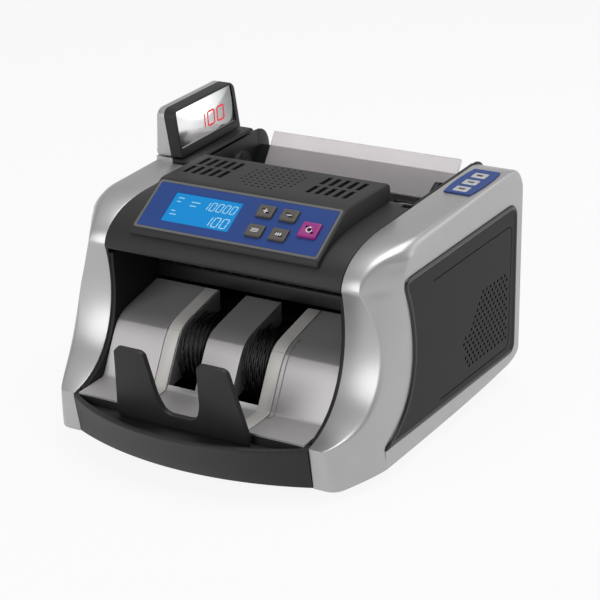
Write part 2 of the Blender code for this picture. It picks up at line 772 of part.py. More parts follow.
def add_note_guide(name, side, black):
    """Side guide for the notes: a tall plate whose arm slides on the rod behind the bed."""
    outline = rounded([(70.0, 113.0, 3.0), (92.0, 115.5, 3.0), (98.0, 122.0, 3.0), (107.0, 154.0, 7.0),
                       (98.0, 165.5, 7.0), (86.0, 163.0, 7.0), (67.0, 138.0, 7.0)])
    low, high = sorted((side * GUIDE_SPAN[0], side * GUIDE_SPAN[1]))
    rod_y, rod_z = GUIDE_ROD
    middle = (low + high) / 2
    guide = add_piece(name, prism(outline, "x", low, high), black, (middle, rod_y, rod_z))
    weld(guide, block((low + 0.2, 97.0, rod_z - 3.0), (high - 0.2, rod_y - 3.0, rod_z + 3.0)), "arm")
    half, tall = 5.0, 5.5
    slider = block((middle - half, rod_y - 4.2, rod_z - tall), (middle + half, rod_y + half, rod_z + tall))
    weld(guide, slider, "slider")
    bore = ROD_RADIUS + GAP
    cut(guide, turned([(middle - 8.0, bore), (middle + 8.0, bore)], GUIDE_ROD, "x", 12), "rod_bore")


def add_separator(black, rubber):
    """Retard pad over the feed rollers, its holder, and the screw that sets the gap."""
    y = FEED_AXIS[0]
    holder = add_piece("separator_holder", block((-46.0, 35.9, 118.5), (46.0, 56.0, 125.0)), black)
    soften(holder, 1.0)
    cut(holder, turned([(110.0, 2.5), (130.0, 2.5)], (0.0, y), "z", 12), "screw_bore")
    pad = add_piece("separator_pad", block((-44.0, 38.5, 110.6), (44.0, 53.5, 118.2)), rubber)
    soften(pad, 1.0)
    knurl = []
    for i in range(24):
        turn = math.radians(15.0 * i)
        radius = 7.0 if i % 2 else 6.3
        knurl.append((radius * math.cos(turn), y + radius * math.sin(turn)))
    knob = add_piece("gap_adjuster", prism(knurl, "z", 128.0, 137.0), black, (0.0, y, 132.0))
    weld(knob, turned([(118.8, 2.2), (130.0, 2.2)], (0.0, y), "z", 12), "stem")


# Stacker

def stacker_path():
    """Face of the stacker plate, from its rear top edge over the bend and out along the floor."""
    return [
        (-15.4, 93.2),
        *bezier((-58.0, 83.3), (-67.5, 81.0), (-69.0, 78.0), (-74.0, 68.0), 5),
        (-74.0, 68.0),
        *bezier((-87.0, 43.5), (-88.6, 40.6), (-90.0, 40.2), (-93.5, 40.2), 3),
        (-93.5, 40.2),
        (-118.6, 39.4),
    ]


def add_stacker(silver, strip_beige, charcoal, black):
    path = stacker_path()
    bent = prism(band(path, PLATE), "x", -STACKER_HALF, STACKER_HALF)
    sheet = add_piece("stacker_plate", bent, silver, smooth=True)
    slots = bmesh.new()
    for low, high in (SLOT_SPAN, (-SLOT_SPAN[1], -SLOT_SPAN[0])):
        block((low, -86.5, 30.0), (high, -5.0, 110.0), slots)
    cut(sheet, slots, "wheel_slots")
    rib = shifted(path[:-3], 0.5, closed=False)
    flanges = bmesh.new()
    half = FLANGE / 2 - 0.05
    for edge in (SLOT_SPAN[0] - FLANGE / 2, SLOT_SPAN[1] + FLANGE / 2):
        for middle in (-edge, edge):
            prism(band(rib, FLANGE_DEPTH), "x", middle - half, middle + half, flanges)
    weld(sheet, flanges, "flanges")

    strip_path = shifted([STRIP_TOP, *path[1:-1], STRIP_FOOT], -GAP, closed=False)
    for name, side in (("left_wear_strip", -1), ("right_wear_strip", 1)):
        low, high = sorted((side * STRIP_SPAN[0], side * STRIP_SPAN[1]))
        add_piece(name, prism(band(strip_path, -0.8), "x", low, high), strip_beige, smooth=True)

    lean = math.radians(13.3)
    foot, arm_out, arm_in, valley = 54.5, 46.0, 22.0, 9.0
    stop_outline = rounded([(-foot, 0.0, 4.0), (foot, 0.0, 4.0), (arm_out, 54.5, 4.0), (arm_in, 54.5, 4.0),
                            (15.0, 18.0, 8.0), (valley, 9.5, 5.0), (-valley, 9.5, 5.0), (-15.0, 18.0, 8.0),
                            (-arm_in, 54.5, 4.0), (-arm_out, 54.5, 4.0)])
    stop = add_piece("note_stop", prism(stop_outline, "y", -2.0, 2.0), charcoal)
    soften(stop, 0.9)
    tilt(stop, (0.0, -124.5, BASE_LIP + 0.8), lean)

    comb_profile = [(-4.0, 113.0), (-4.0, 126.5), (-16.0, 126.5), (-39.0, 123.0), (-41.0, 119.0),
                    (-28.0, 113.5), (-14.0, 112.6)]
    comb = add_piece("exit_comb", prism(comb_profile, "x", -CLEAR_HALF, CLEAR_HALF), black)
    gaps = bmesh.new()
    pitch, tooth = 12.0, 3.0
    half = (pitch - tooth) / 2
    for i in range(-8, 8):
        middle = (i + 0.5) * pitch
        block((middle - half, -60.0, 105.0), (middle + half, -15.0, 140.0), gaps)
    cut(comb, gaps, "teeth")


def wheel_outline():
    """Impeller seen from the side: a hub with curved flexible fins swept back from its turning."""
    hub, thick = 13.0, 1.1
    y0, z0 = STACKER_AXIS
    outline = []
    for i in range(FIN_COUNT):
        root = 2 * math.pi * i / FIN_COUNT
        edges = ([], [])
        for step in range(4):
            share = step / 3
            radius = mix(hub, WHEEL_RADIUS, share)
            angle = root - 0.75 * share ** 1.3
            half = mix(thick, 0.7, share) / radius
            edges[0].append((radius, angle - half))
            edges[1].append((radius, angle + half))
        for radius, angle in edges[0] + edges[1][::-1]:
            outline.append((y0 + radius * math.cos(angle), z0 + radius * math.sin(angle)))
        middle = root + math.pi / FIN_COUNT
        outline.append((y0 + hub * math.cos(middle), z0 + hub * math.sin(middle)))
    return outline


# Drive

def add_roller(name, axis, radius, span, side, finish):
    low, high = sorted((side * span[0], side * span[1]))
    bore = SHAFT_RADIUS + GAP
    profile = [(low, bore), (low, radius), (high, radius), (high, bore)]
    shape = turned(profile, axis, "x", 20, closed=True)
    add_piece(name, shape, finish, ((low + high) / 2, *axis), smooth=True)


def add_shaft(name, axis, pulley, steel):
    """Shaft with its belt pulley on the left end, outside the frame plate."""
    low, high = -PULLEY_SPAN[1], -PULLEY_SPAN[0]
    profile = [(low - 1.0, SHAFT_RADIUS - 1.0), (low, SHAFT_RADIUS), (low, pulley), (high, pulley),
               (high, SHAFT_RADIUS), (FRAME_OUTER + 2.0, SHAFT_RADIUS)]
    add_piece(name, turned(profile, axis, "x", 16), steel, (0.0, *axis), smooth=True)


def belt_loop(grow):
    """Line of the belt round the four pulleys, the hull of their circles."""
    wheels = [(STACKER_AXIS, PULLEY_RADII["stacker"]), (MOTOR_AXIS, PULLEY_RADII["motor"]),
              (PICKUP_AXIS, PULLEY_RADII["pickup"]), (FEED_AXIS, PULLEY_RADII["feed"])]
    line_points = []
    for i, here in enumerate(wheels):
        centre, radius = here
        angles = []
        for (ca, ra), (cb, rb) in ((wheels[i - 1], here), (here, wheels[(i + 1) % len(wheels)])):
            run = Vector(cb) - Vector(ca)
            bearing = math.atan2(run.y, run.x) - math.acos((ra - rb) / run.length)
            angles.append(math.degrees(bearing))
        start, end = angles
        while end < start:
            end += 360.0
        line_points += arc(centre, radius + grow, start, end, 6)
    return line_points


def add_drive(steel, rubber, motor_grey):
    add_shaft("pickup_shaft", PICKUP_AXIS, PULLEY_RADII["pickup"], steel)
    add_shaft("feed_shaft", FEED_AXIS, PULLEY_RADII["feed"], steel)
    add_shaft("stacker_shaft", STACKER_AXIS, PULLEY_RADII["stacker"], steel)
    for label, side in (("left", -1), ("right", 1)):
        add_roller("pickup_roller_" + label, PICKUP_AXIS, PICKUP_RADIUS, ROLLER_SPAN, side, rubber)
        add_roller("feed_roller_" + label, FEED_AXIS, FEED_RADIUS, ROLLER_SPAN, side, rubber)
        low, high = sorted((side * WHEEL_SPAN[0], side * WHEEL_SPAN[1]))
        middle = ((low + high) / 2, *STACKER_AXIS)
        wheel = add_piece("stacker_wheel_" + label, prism(wheel_outline(), "x", low, high), rubber, middle)
        bore = SHAFT_RADIUS + GAP
        cut(wheel, turned([(low - 1.0, bore), (high + 1.0, bore)], STACKER_AXIS, "x", 16), "bore")

    inner, outer = belt_loop(BELT_GAP), belt_loop(BELT_GAP + BELT_THICK)
    low, high = -BELT_SPAN[1], -BELT_SPAN[0]
    rings = [[(low, y, z) for y, z in inner], [(low, y, z) for y, z in outer],
             [(high, y, z) for y, z in outer], [(high, y, z) for y, z in inner]]
    add_piece("drive_belt", loft(rings, closed=True), rubber)

    can, boss = 19.0, 8.0
    can_profile = [(-50.0, can - 2.0), (-52.0, can), (-90.0, can), (-91.0, boss), (-94.2, boss),
                   (-94.2, 3.4), (-78.0, 3.4)]
    motor = turned(can_profile, MOTOR_AXIS, "x", 16)
    add_piece("drive_motor", motor, motor_grey, (0.0, *MOTOR_AXIS), smooth=True)
    low, high, pulley, rotor = -PULLEY_SPAN[1], -PULLEY_SPAN[0], PULLEY_RADII["motor"], 3.0
    rotor_profile = [(low - 1.0, rotor - 0.6), (low, rotor), (low, pulley), (high, pulley), (high, rotor),
                     (-80.0, rotor)]
    shape = turned(rotor_profile, MOTOR_AXIS, "x", 16)
    add_piece("motor_pulley", shape, steel, (0.0, *MOTOR_AXIS), smooth=True)


# Base, rear cover and electrics

def bow(half, end_y, middle_y, z, steps=16):
    """Bowed front edge across the base at one height, from right to left."""
    points = []
    for i in range(steps + 1):
        x = mix(half, -half, i / steps)
        sag = end_y - middle_y
        radius = (half ** 2 + sag ** 2) / (2 * sag)
        y = middle_y + radius - math.sqrt(radius ** 2 - x ** 2)
        points.append((x, y, z))
    return points


def add_base(black):
    half, wall = FRAME_OUTER, 3.0
    inside, floor = half - wall, BASE_BOTTOM + wall
    levels = [(-113.2, -134.0, BASE_BOTTOM), (-114.4, -135.6, BASE_BOTTOM + 1.4),
              (-120.2, -150.2, BASE_LIP - 3.0), (-120.4, -151.0, BASE_LIP - 1.4), (-119.4, -149.2, BASE_LIP)]
    loops = []
    for end, middle, z in levels:
        loops.append(bow(half, end, middle, z) + [(-half, DECK_REAR, z), (half, DECK_REAR, z)])
    base = add_piece("base_housing", loft(loops), black, smooth=True)
    weld(base, block((-half, DECK_REAR - 1.5, BASE_BOTTOM), (half, BASE_REAR, TRAY_TOP)), "tray")
    hollow = []
    back = -100.0
    for end, middle, z in ((-112.6, -131.5, floor), (-116.5, -146.0, BASE_LIP - wall)):
        hollow.append(bow(inside, end, middle, z) + [(-inside, back, z), (inside, back, z)])
    cut(base, loft(hollow), "front_hollow")
    cut(base, block((-inside, -114.0, floor), (inside, BASE_REAR - wall, 30.0)), "tray_hollow")
    posts = bmesh.new()
    for x in (-30.0, 80.0):
        for y in (10.0, 58.0):
            turned([(8.0, 3.5), (12.7, 3.0)], (x, y), "z", 8, bm=posts)
    weld(base, posts, "board_posts")


def add_feet(rubber):
    for name, (x, y) in FEET.items():
        profile = [(0.0, 8.0), (1.0, 9.0), (BASE_BOTTOM - GAP, 9.6)]
        add_piece(name, turned(profile, (x, y), "z", 12), rubber, (x, y, 0.0), smooth=True)


def add_rear_cover(charcoal):
    front = BASE_REAR + GAP
    crown = bezier((151.0, 150.0), (151.0, 160.0), (146.0, 169.0), (137.0, 169.9), 6)
    profile = [(front, 7.5), (143.0, 7.5), (REAR_FACE, 10.5), (REAR_FACE, 105.0), (150.6, 142.0), *crown,
               (137.0, 169.9), (front, 169.9)]
    cover = add_piece("rear_cover", prism(profile, "x", -FRAME_OUTER, FRAME_OUTER), charcoal, smooth=True)
    inside = FRAME_OUTER - SHELL
    hollow = [(front - 5.0, 10.0), (143.3, 10.0), (143.3, 105.0), (147.4, 140.0), (147.4, 151.1),
              (137.6, 154.8), (137.6, 156.5), (front - 5.0, 156.5)]
    cut(cover, prism(hollow, "x", -inside, inside), "hollow")
    notch = [(front - 5.0, 156.0), (137.6, 156.0), (137.6, 157.5), (155.0, 151.0), (155.0, 175.0),
             (front - 5.0, 175.0)]
    cut(cover, prism(notch, "x", -inside, inside), "saddle")
    vents = bmesh.new()
    for row in range(6):
        for column in range(2):
            x, z = -72.0 + column * 36.0, 48.0 + row * 8.0
            block((x, 140.0, z), (x + 32.0, 150.0, z + 3.5), vents)
    cut(cover, vents, "vents")
    x, z = INLET
    wide, tall = (half + GAP for half in INLET_HALF)
    cut(cover, block((x - wide, 138.0, z - tall), (x + wide, 150.0, z + tall)), "inlet_opening")


def add_inlet(black):
    x, z = INLET
    (wide, tall), (rim_wide, rim_tall) = INLET_HALF, FLANGE_HALF
    shape = block((x - wide, 126.0, z - tall), (x + wide, REAR_FACE + 1.0, z + tall))
    body = add_piece("power_inlet", shape, black)
    flange = [(x - rim_wide, z - rim_tall), (x + rim_wide, z - rim_tall),
              (x + rim_wide, z + rim_tall), (x - rim_wide, z + rim_tall)]
    weld(body, prism(flange, "y", REAR_FACE + GAP, REAR_FACE + 2.4), "flange")
    right = [(SOCKET_X + 12.0, z - 8.0), (SOCKET_X + 12.0, z + 3.0), (SOCKET_X + 7.0, z + 8.0)]
    mouth = right + [(2 * SOCKET_X - u, v) for u, v in right[::-1]]
    cut(body, prism(mouth, "y", 131.0, 155.0), "socket")
    pins = bmesh.new()
    for dx, dz in ((-7.0, -2.0), (7.0, -2.0), (0.0, 3.5)):
        block((SOCKET_X + dx - 1.0, 130.0, z + dz - 2.0), (SOCKET_X + dx + 1.0, 141.0, z + dz + 2.0), pins)
    weld(body, pins, "pins")
    cut(body, block((ROCKER_X - 7.0, 135.0, z - 9.6), (ROCKER_X + 7.0, 155.0, z + 9.6)), "rocker_opening")


def add_rocker(gloss):
    """Power rocker, drawn in its off position: a shallow V that turns about X."""
    axis = Vector((ROCKER_AXIS_Y, INLET[1]))
    turn = Matrix.Rotation(ROCKER_OFF, 2)
    outline = [(-4.0, -6.0), (4.6, -8.1), (3.0, 0.0), (4.6, 8.1), (-4.0, 6.0)]
    placed = [tuple(axis + turn @ Vector(point)) for point in outline]
    half = 6.5
    shape = prism(placed, "x", ROCKER_X - half, ROCKER_X + half)
    add_piece("power_rocker", shape, gloss, (ROCKER_X, *axis))


def add_boards(board_green, iron):
    board = add_piece("main_board", block((-38.0, 2.0, 13.0), (88.0, 66.0, 14.6)), board_green)
    parts = bmesh.new()
    for x, y, width, length, height in ((-20.0, 20.0, 18.0, 18.0, 2.2), (20.0, 40.0, 30.0, 12.0, 8.0),
                                        (60.0, 20.0, 16.0, 28.0, 14.0), (-10.0, 52.0, 26.0, 8.0, 10.0)):
        block((x, y, 14.0), (x + width, y + length, 14.6 + height), parts)
    weld(board, parts, "components")
    core = add_piece("transformer", block((20.0, 82.0, 9.4), (76.0, 116.0, 52.0)), iron)
    weld(core, block((31.0, 74.0, 18.0), (65.0, 124.0, 44.0)), "winding")


def main():
    clear_scene()
    silver = make_finish("silver_paint", (0.52, 0.52, 0.53), 0.32, 0.75)
    charcoal = make_finish("charcoal_plastic", (0.045, 0.045, 0.047), 0.42)
    black = make_finish("black_plastic", (0.016, 0.016, 0.017), 0.5)
    blue = make_finish("blue_overlay", (0.025, 0.068, 0.262), 0.35)
    glass = make_finish("lcd_blue", (0.0, 0.262, 0.679), 0.15)
    key_grey = make_finish("key_grey", (0.06, 0.055, 0.05), 0.5)
    key_magenta = make_finish("key_magenta", (0.328, 0.023, 0.216), 0.45)
    key_silver = make_finish("key_silver", (0.48, 0.48, 0.5), 0.4, 0.3)
    tinted = make_finish("tinted_plastic", (0.45, 0.41, 0.41), 0.2)
    mirror = make_finish("display_mirror", (0.6, 0.6, 0.6), 0.08, 0.6)
    rubber = make_finish("black_rubber", (0.012, 0.012, 0.012), 0.7)
    steel = make_finish("steel", (0.5, 0.5, 0.5), 0.3, 1.0)
    beige = make_finish("beige_strip", (0.55, 0.52, 0.46), 0.4)
    motor_grey = make_finish("motor_zinc", (0.4, 0.4, 0.41), 0.4, 0.9)
    green = make_finish("board_green", (0.01, 0.11, 0.05), 0.5)
    iron = make_finish("core_iron", (0.12, 0.11, 0.1), 0.5, 0.6)
    gloss = make_finish("rocker_black", (0.02, 0.02, 0.02), 0.4)

    left_panel = add_side("left", -1, silver, charcoal)
    right_panel = add_side("right", 1, silver, charcoal)
    add_frame_plate("left", -1, black)
    add_frame_plate("right", 1, black)
    add_front_cover(charcoal)
    add_console(charcoal)
    add_keypad(blue, glass, green, key_grey, key_magenta)
    add_function_keys(right_panel, blue, key_silver)
    add_display(left_panel, silver, charcoal, mirror)
    add_hopper(black, tinted, steel)
    add_separator(black, rubber)
    add_stacker(silver, beige, charcoal, black)
    add_drive(steel, rubber, motor_grey)
    add_base(black)
    add_feet(rubber)
    add_rear_cover(charcoal)
    add_inlet(black)
    add_rocker(gloss)
    add_boards(green, iron)


main()
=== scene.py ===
"""Looks of the banknote counting machine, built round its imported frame.

Lengths are written in millimetres, in the frame's own axes, and become metres as each mesh is made.
"""

import json
import math

import bpy
from mathutils import Matrix, Vector
from mathutils.geometry import interpolate_bezier

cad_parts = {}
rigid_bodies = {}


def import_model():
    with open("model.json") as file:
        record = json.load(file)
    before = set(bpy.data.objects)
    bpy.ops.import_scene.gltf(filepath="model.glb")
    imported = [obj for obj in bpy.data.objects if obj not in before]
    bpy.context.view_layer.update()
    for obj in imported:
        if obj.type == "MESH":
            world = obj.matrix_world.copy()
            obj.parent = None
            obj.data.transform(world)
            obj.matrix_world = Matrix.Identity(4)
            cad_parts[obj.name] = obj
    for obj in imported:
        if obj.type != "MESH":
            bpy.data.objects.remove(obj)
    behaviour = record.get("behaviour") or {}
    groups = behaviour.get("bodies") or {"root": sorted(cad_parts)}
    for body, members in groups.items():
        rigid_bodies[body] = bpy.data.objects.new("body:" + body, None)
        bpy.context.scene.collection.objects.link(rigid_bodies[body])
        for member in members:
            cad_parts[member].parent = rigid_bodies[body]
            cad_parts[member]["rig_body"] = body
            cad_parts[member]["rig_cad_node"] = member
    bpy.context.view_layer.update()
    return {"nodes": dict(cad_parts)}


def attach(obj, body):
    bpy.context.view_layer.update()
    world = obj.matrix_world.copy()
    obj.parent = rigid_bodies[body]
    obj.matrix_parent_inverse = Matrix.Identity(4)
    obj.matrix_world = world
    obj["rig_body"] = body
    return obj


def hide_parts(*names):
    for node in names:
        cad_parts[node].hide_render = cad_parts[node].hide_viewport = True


MM = 0.001
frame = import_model()

# Body outline seen from the side, as (y, z)
BASE_BOTTOM = 6.0
TOE_BOTTOM = (-114.0, BASE_BOTTOM)
TOE_TOP = (-120.0, 38.2)
WAIST = (-73.5, 136.3)
ROOF_FRONT = (-18.0, 163.7)
ROOF_REAR = (122.0, 170.09)
REAR_TOP = (148.3, 154.0)
REAR_FOOT = (147.0, 22.0)
HEEL = (128.0, 10.5)
RUN_STEPS = (5, 36, 24, 8, 8, 4, 6, 10)
SCOOP_RUN, NOSE_RUN = 1, 2
ROOF_SLOPE = (ROOF_REAR[1] - ROOF_FRONT[1]) / (ROOF_REAR[0] - ROOF_FRONT[0])
ROOF_PITCH = math.atan(ROOF_SLOPE)

# Side panels and covers, as distances from the middle plane
PANEL_INNER = 98.0
PANEL_SIDE = 131.0
COVER_FACE = 132.0
COVER_SEAT = 129.2
CHEEK_OUTER = 97.7
SHELL = 2.5

# Console slope: its lower edge, its angle, and what sits on it
SLOPE_FOOT = (-69.4, 152.4)
SLOPE_HEAD = (-28.0, 178.4)
SLOPE_ANGLE = math.atan2(SLOPE_HEAD[1] - SLOPE_FOOT[1], SLOPE_HEAD[0] - SLOPE_FOOT[0])
CONSOLE_HALF = 78.0
TOP_CUT = (170.0, 190.0)
OVERLAY_HALF = 74.0
OVERLAY_RUN = (4.0, 45.0)
OVERLAY_BORDER = 2.2
LCD_WINDOW = (-57.5, -1.0, 11.0, 38.0)
KEY_GAP = 0.3
KEY_SIZE = (13.0, 10.5)
RESET_SIZE = (14.4, 13.0)
KEYS = {
    "plus_key": (20.0, 33.6, KEY_SIZE),
    "minus_key": (39.3, 33.4, KEY_SIZE),
    "batch_key": (20.0, 15.7, KEY_SIZE),
    "mode_key": (39.3, 15.8, KEY_SIZE),
    "reset_key": (60.0, 24.2, RESET_SIZE),
}

# Function keys, customer display and shafts
FUNCTION_CENTRE = (115.0, 91.5)
FUNCTION_KEY_SIZE = (11.4, 9.6)
FUNCTION_KEYS = {"front": -17.0, "middle": -2.1, "rear": 13.0}
DISPLAY_PIVOT = (-119.0, 80.0)
DISPLAY_LIFT = 4.2
DISPLAY_HALF = 42.0
DISPLAY_HEIGHT = 37.5
PIN_RADIUS = 4.5
PIN_BORE = 4.8
STACKER_AXIS = (-46.0, 54.0)
WHEEL_HUB = 12.0
LIP_TOP = 37.5
LIP_DROP = 5.8
STRIP_TOP = (-17.0, 92.8)
STRIP_FOOT = (-117.0, 39.45)


SIDES = (("left", -1), ("right", 1))


# Outlines

def roof(y):
    return ROOF_FRONT[1] + (y - ROOF_FRONT[0]) * ROOF_SLOPE


def mix(a, b, share):
    return a + (b - a) * share


def line(start, end, steps):
    return [(mix(start[0], end[0], i / steps), mix(start[1], end[1], i / steps)) for i in range(steps)]


def bezier(start, handle_a, handle_b, end, steps):
    knots = [Vector((*point, 0.0)) for point in (start, handle_a, handle_b, end)]
    return [(p.x, p.y) for p in interpolate_bezier(*knots, steps + 1)][:-1]


def arc(centre, radius, start, end, steps):
    turns = [math.radians(mix(start, end, i / steps)) for i in range(steps + 1)]
    return [(centre[0] + radius * math.cos(t), centre[1] + radius * math.sin(t)) for t in turns]


def ring(centre, radius, sides):
    return arc(centre, radius, 0.0, 360.0 - 360.0 / sides, sides - 1)


def rounded(corners, steps=6):
    """Closed outline from (u, v, radius) corners, each turned with a short curve."""
    outline = []
    for i, (u, v, radius) in enumerate(corners):
        here = Vector((u, v))
        before = (Vector(corners[i - 1][:2]) - here).normalized()
        after = (Vector(corners[(i + 1) % len(corners)][:2]) - here).normalized()
        if radius == 0.0:
            outline.append((u, v))
            continue
        start, end = here + before * radius, here + after * radius
        outline += bezier(start, here + before * radius * 0.45, here + after * radius * 0.45, end, steps)
        outline.append((end.x, end.y))
    return outline


def rounded_box(u0, u1, v0, v1, radius, steps=5):
    return rounded([(u0, v0, radius), (u1, v0, radius), (u1, v1, radius), (u0, v1, radius)], steps)


def shifted(points, distance, closed=True):
    """Outline moved sideways by a distance, to the left of its direction of travel."""
    count = len(points)
    moved = []
    for i, point in enumerate(points):
        here = Vector(point)
        sides = []
        if closed or i > 0:
            sides.append((here - Vector(points[i - 1])).normalized())
        if closed or i < count - 1:
            sides.append((Vector(points[(i + 1) % count]) - here).normalized())
        normals = [Vector((-side.y, side.x)) for side in sides]
        bisector = sum(normals, Vector((0.0, 0.0))).normalized()
        reach = distance / max(bisector.dot(normals[0]), 0.4)
        moved.append(tuple(here + bisector * reach))
    return moved


def band(path, thickness):
    """Closed outline of a bent sheet whose face follows a path."""
    return path + shifted(path, thickness, closed=False)[::-1]


# Modelling

PLACE = {
    "x": lambda u, v, w: (w, u, v),
    "y": lambda u, v, w: (u, w, v),
    "z": lambda u, v, w: (u, v, w),
}
SLOPE = Matrix.Translation(Vector((0.0, *SLOPE_FOOT)) * MM) @ Matrix.Rotation(SLOPE_ANGLE, 4, "X")


def pick(*pieces):
    bpy.ops.object.select_all(action="DESELECT")
    for piece in pieces:
        piece.select_set(True)
    bpy.context.view_layer.objects.active = pieces[0]


def open_edit(piece):
    pick(piece)
    bpy.ops.object.mode_set(mode="EDIT")
    bpy.ops.mesh.select_all(action="SELECT")


def close_edit():
    bpy.ops.object.mode_set(mode="OBJECT")


def mend(piece):
    """Merge doubled points and turn all faces outwards."""
    open_edit(piece)
    bpy.ops.mesh.remove_doubles(threshold=1e-6)
    bpy.ops.mesh.normals_make_consistent(inside=False)
    close_edit()
    return piece


def extruded(name, outline, axis, low, high):
    """A filled ring of points pulled to an outline and extruded along an axis."""
    bpy.ops.mesh.primitive_circle_add(vertices=len(outline), fill_type="NGON")
    piece = bpy.context.object
    piece.name = name
    put = PLACE[axis]
    for vertex, (u, v) in zip(piece.data.vertices, outline):
        vertex.co = Vector(put(u, v, low)) * MM
    open_edit(piece)
    step = Vector(put(0.0, 0.0, high - low)) * MM
    bpy.ops.mesh.extrude_region_move(TRANSFORM_OT_translate={"value": step})
    bpy.ops.mesh.select_all(action="SELECT")
    bpy.ops.mesh.normals_make_consistent(inside=False)
    close_edit()
    return piece


def skinned(name, rows, around=True, along=False, capped=False):
    """A grid pulled over rows of points, joined round each row, and from the last row to the first."""
    if around:
        rows = [row + row[:1] for row in rows]
    if along:
        rows = rows + rows[:1]
    bpy.ops.mesh.primitive_grid_add(x_subdivisions=len(rows[0]) - 1, y_subdivisions=len(rows) - 1)
    piece = bpy.context.object
    piece.name = name
    points = [point for row in rows for point in row]
    for vertex, point in zip(piece.data.vertices, points):
        vertex.co = Vector(point) * MM
    open_edit(piece)
    bpy.ops.mesh.remove_doubles(threshold=1e-6)
    if capped:
        bpy.ops.mesh.select_all(action="DESELECT")
        bpy.ops.mesh.select_mode(type="EDGE")
        bpy.ops.mesh.select_non_manifold()
        bpy.ops.mesh.edge_face_add()
        bpy.ops.mesh.select_all(action="SELECT")
    bpy.ops.mesh.normals_make_consistent(inside=False)
    close_edit()
    return piece


def turned(name, profile, centre, axis="x", sides=32, along=False):
    """A profile of (distance along the axis, radius) turned about that axis."""
    put = PLACE[axis]
    rows = []
    for distance, radius in profile:
        rows.append([put(u, v, distance) for u, v in ring(centre, radius, sides)])
    return skinned(name, rows, along=along, capped=not along)


def boxed(name, low, high, radius=0.0, segments=3):
    """A cube pulled to two corners, with its edges rounded in edit mode."""
    bpy.ops.mesh.primitive_cube_add(size=1.0)
    piece = bpy.context.object
    piece.name = name
    for vertex in piece.data.vertices:
        vertex.co = Vector([b if c > 0 else a for a, b, c in zip(low, high, vertex.co)]) * MM
    if radius:
        open_edit(piece)
        bpy.ops.mesh.bevel(offset=radius * MM, segments=segments, affect="EDGES")
        close_edit()
    return piece


def apply_step(piece, step):
    pick(piece)
    bpy.ops.object.modifier_apply(modifier=step.name)


def boolean(piece, tool, operation):
    step = piece.modifiers.new("shape", "BOOLEAN")
    step.operation = operation
    step.solver = "EXACT"
    step.object = tool
    apply_step(piece, step)
    bpy.data.objects.remove(tool)
    return piece


def carve(piece, tool):
    return boolean(piece, tool, "DIFFERENCE")


def weld(piece, part):
    return boolean(piece, part, "UNION")


def joined(pieces):
    pick(*pieces)
    if len(pieces) > 1:
        bpy.ops.object.join()
    return bpy.context.object


def soften(piece, width, segments=3, angle=40.0):
    """Round every edge that turns more than the angle."""
    step = piece.modifiers.new("soft", "BEVEL")
    step.width = width * MM
    step.segments = segments
    step.limit_method = "ANGLE"
    step.angle_limit = math.radians(angle)
    apply_step(piece, step)
    return piece


def put(piece, matrix):
    piece.data.transform(matrix)
    return piece


def from_node(node, width=0.0, segments=2, angle=35.0):
    """A copy of a frame node with its triangles merged and its edges rounded."""
    source = frame["nodes"][node]
    piece = source.copy()
    piece.data = source.data.copy()
    piece.parent = None
    bpy.context.scene.collection.objects.link(piece)
    piece.name = node + "_skin"
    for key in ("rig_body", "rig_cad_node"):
        if key in piece:
            del piece[key]
    open_edit(piece)
    bpy.ops.mesh.remove_doubles(threshold=2e-6)
    bpy.ops.mesh.dissolve_limited(angle_limit=math.radians(0.6))
    close_edit()
    if width:
        soften(piece, width, segments, angle)
    return piece


def dress(piece, finish, body, slot, *nodes, smooth=35.0):
    """Give a piece its finish, its smooth shading, the body it moves with and the nodes it stands for."""
    piece.data.materials.clear()
    piece.data.materials.append(finish)
    for face in piece.data.polygons:
        face.material_index = 0
    pick(piece)
    bpy.ops.object.shade_smooth_by_angle(angle=math.radians(smooth))
    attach(piece, body)
    if nodes:
        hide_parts(*nodes)
    return piece


# Finishes

def add_node(tree, kind, **values):
    node = tree.nodes.new(kind)
    for name, value in values.items():
        node.inputs[name].default_value = value
    return node


GLOSS_CHANGE = 0.05


def paint(name, colour, roughness, metallic=0.0, grain=900.0, depth=0.02, mottle=0.05, level=0.5):
    """Paint or plastic with a fine grain, faint clouds of tone and a little change of gloss."""
    finish = bpy.data.materials.new(name)
    finish.use_nodes = True
    tree = finish.node_tree
    shader = tree.nodes["Principled BSDF"]
    shader.inputs["Metallic"].default_value = metallic
    shader.inputs["Specular IOR Level"].default_value = level
    place = tree.nodes.new("ShaderNodeTexCoord")
    clouds = add_node(tree, "ShaderNodeTexNoise", Scale=35.0, Detail=4.0)
    fine = add_node(tree, "ShaderNodeTexNoise", Scale=grain, Detail=2.0)
    tone = tree.nodes.new("ShaderNodeValToRGB")
    for stop, share in zip(tone.color_ramp.elements, (1.0 - mottle, 1.0 + mottle)):
        stop.color = (*(min(1.0, channel * share) for channel in colour), 1.0)
    tone.color_ramp.elements[0].position = 0.3
    tone.color_ramp.elements[1].position = 0.7
    span = {"To Min": max(0.02, roughness - GLOSS_CHANGE), "To Max": min(1.0, roughness + GLOSS_CHANGE)}
    gloss = add_node(tree, "ShaderNodeMapRange", **span)
    bump = add_node(tree, "ShaderNodeBump", Strength=depth, Distance=0.001)
    link = tree.links.new
    link(place.outputs["Object"], clouds.inputs["Vector"])
    link(place.outputs["Object"], fine.inputs["Vector"])
    link(clouds.outputs["Fac"], tone.inputs["Fac"])
    link(tone.outputs["Color"], shader.inputs["Base Color"])
    link(fine.outputs["Fac"], gloss.inputs["Value"])
    link(gloss.outputs["Result"], shader.inputs["Roughness"])
    link(fine.outputs["Fac"], bump.inputs["Height"])
    link(bump.outputs["Normal"], shader.inputs["Normal"])
    return finish


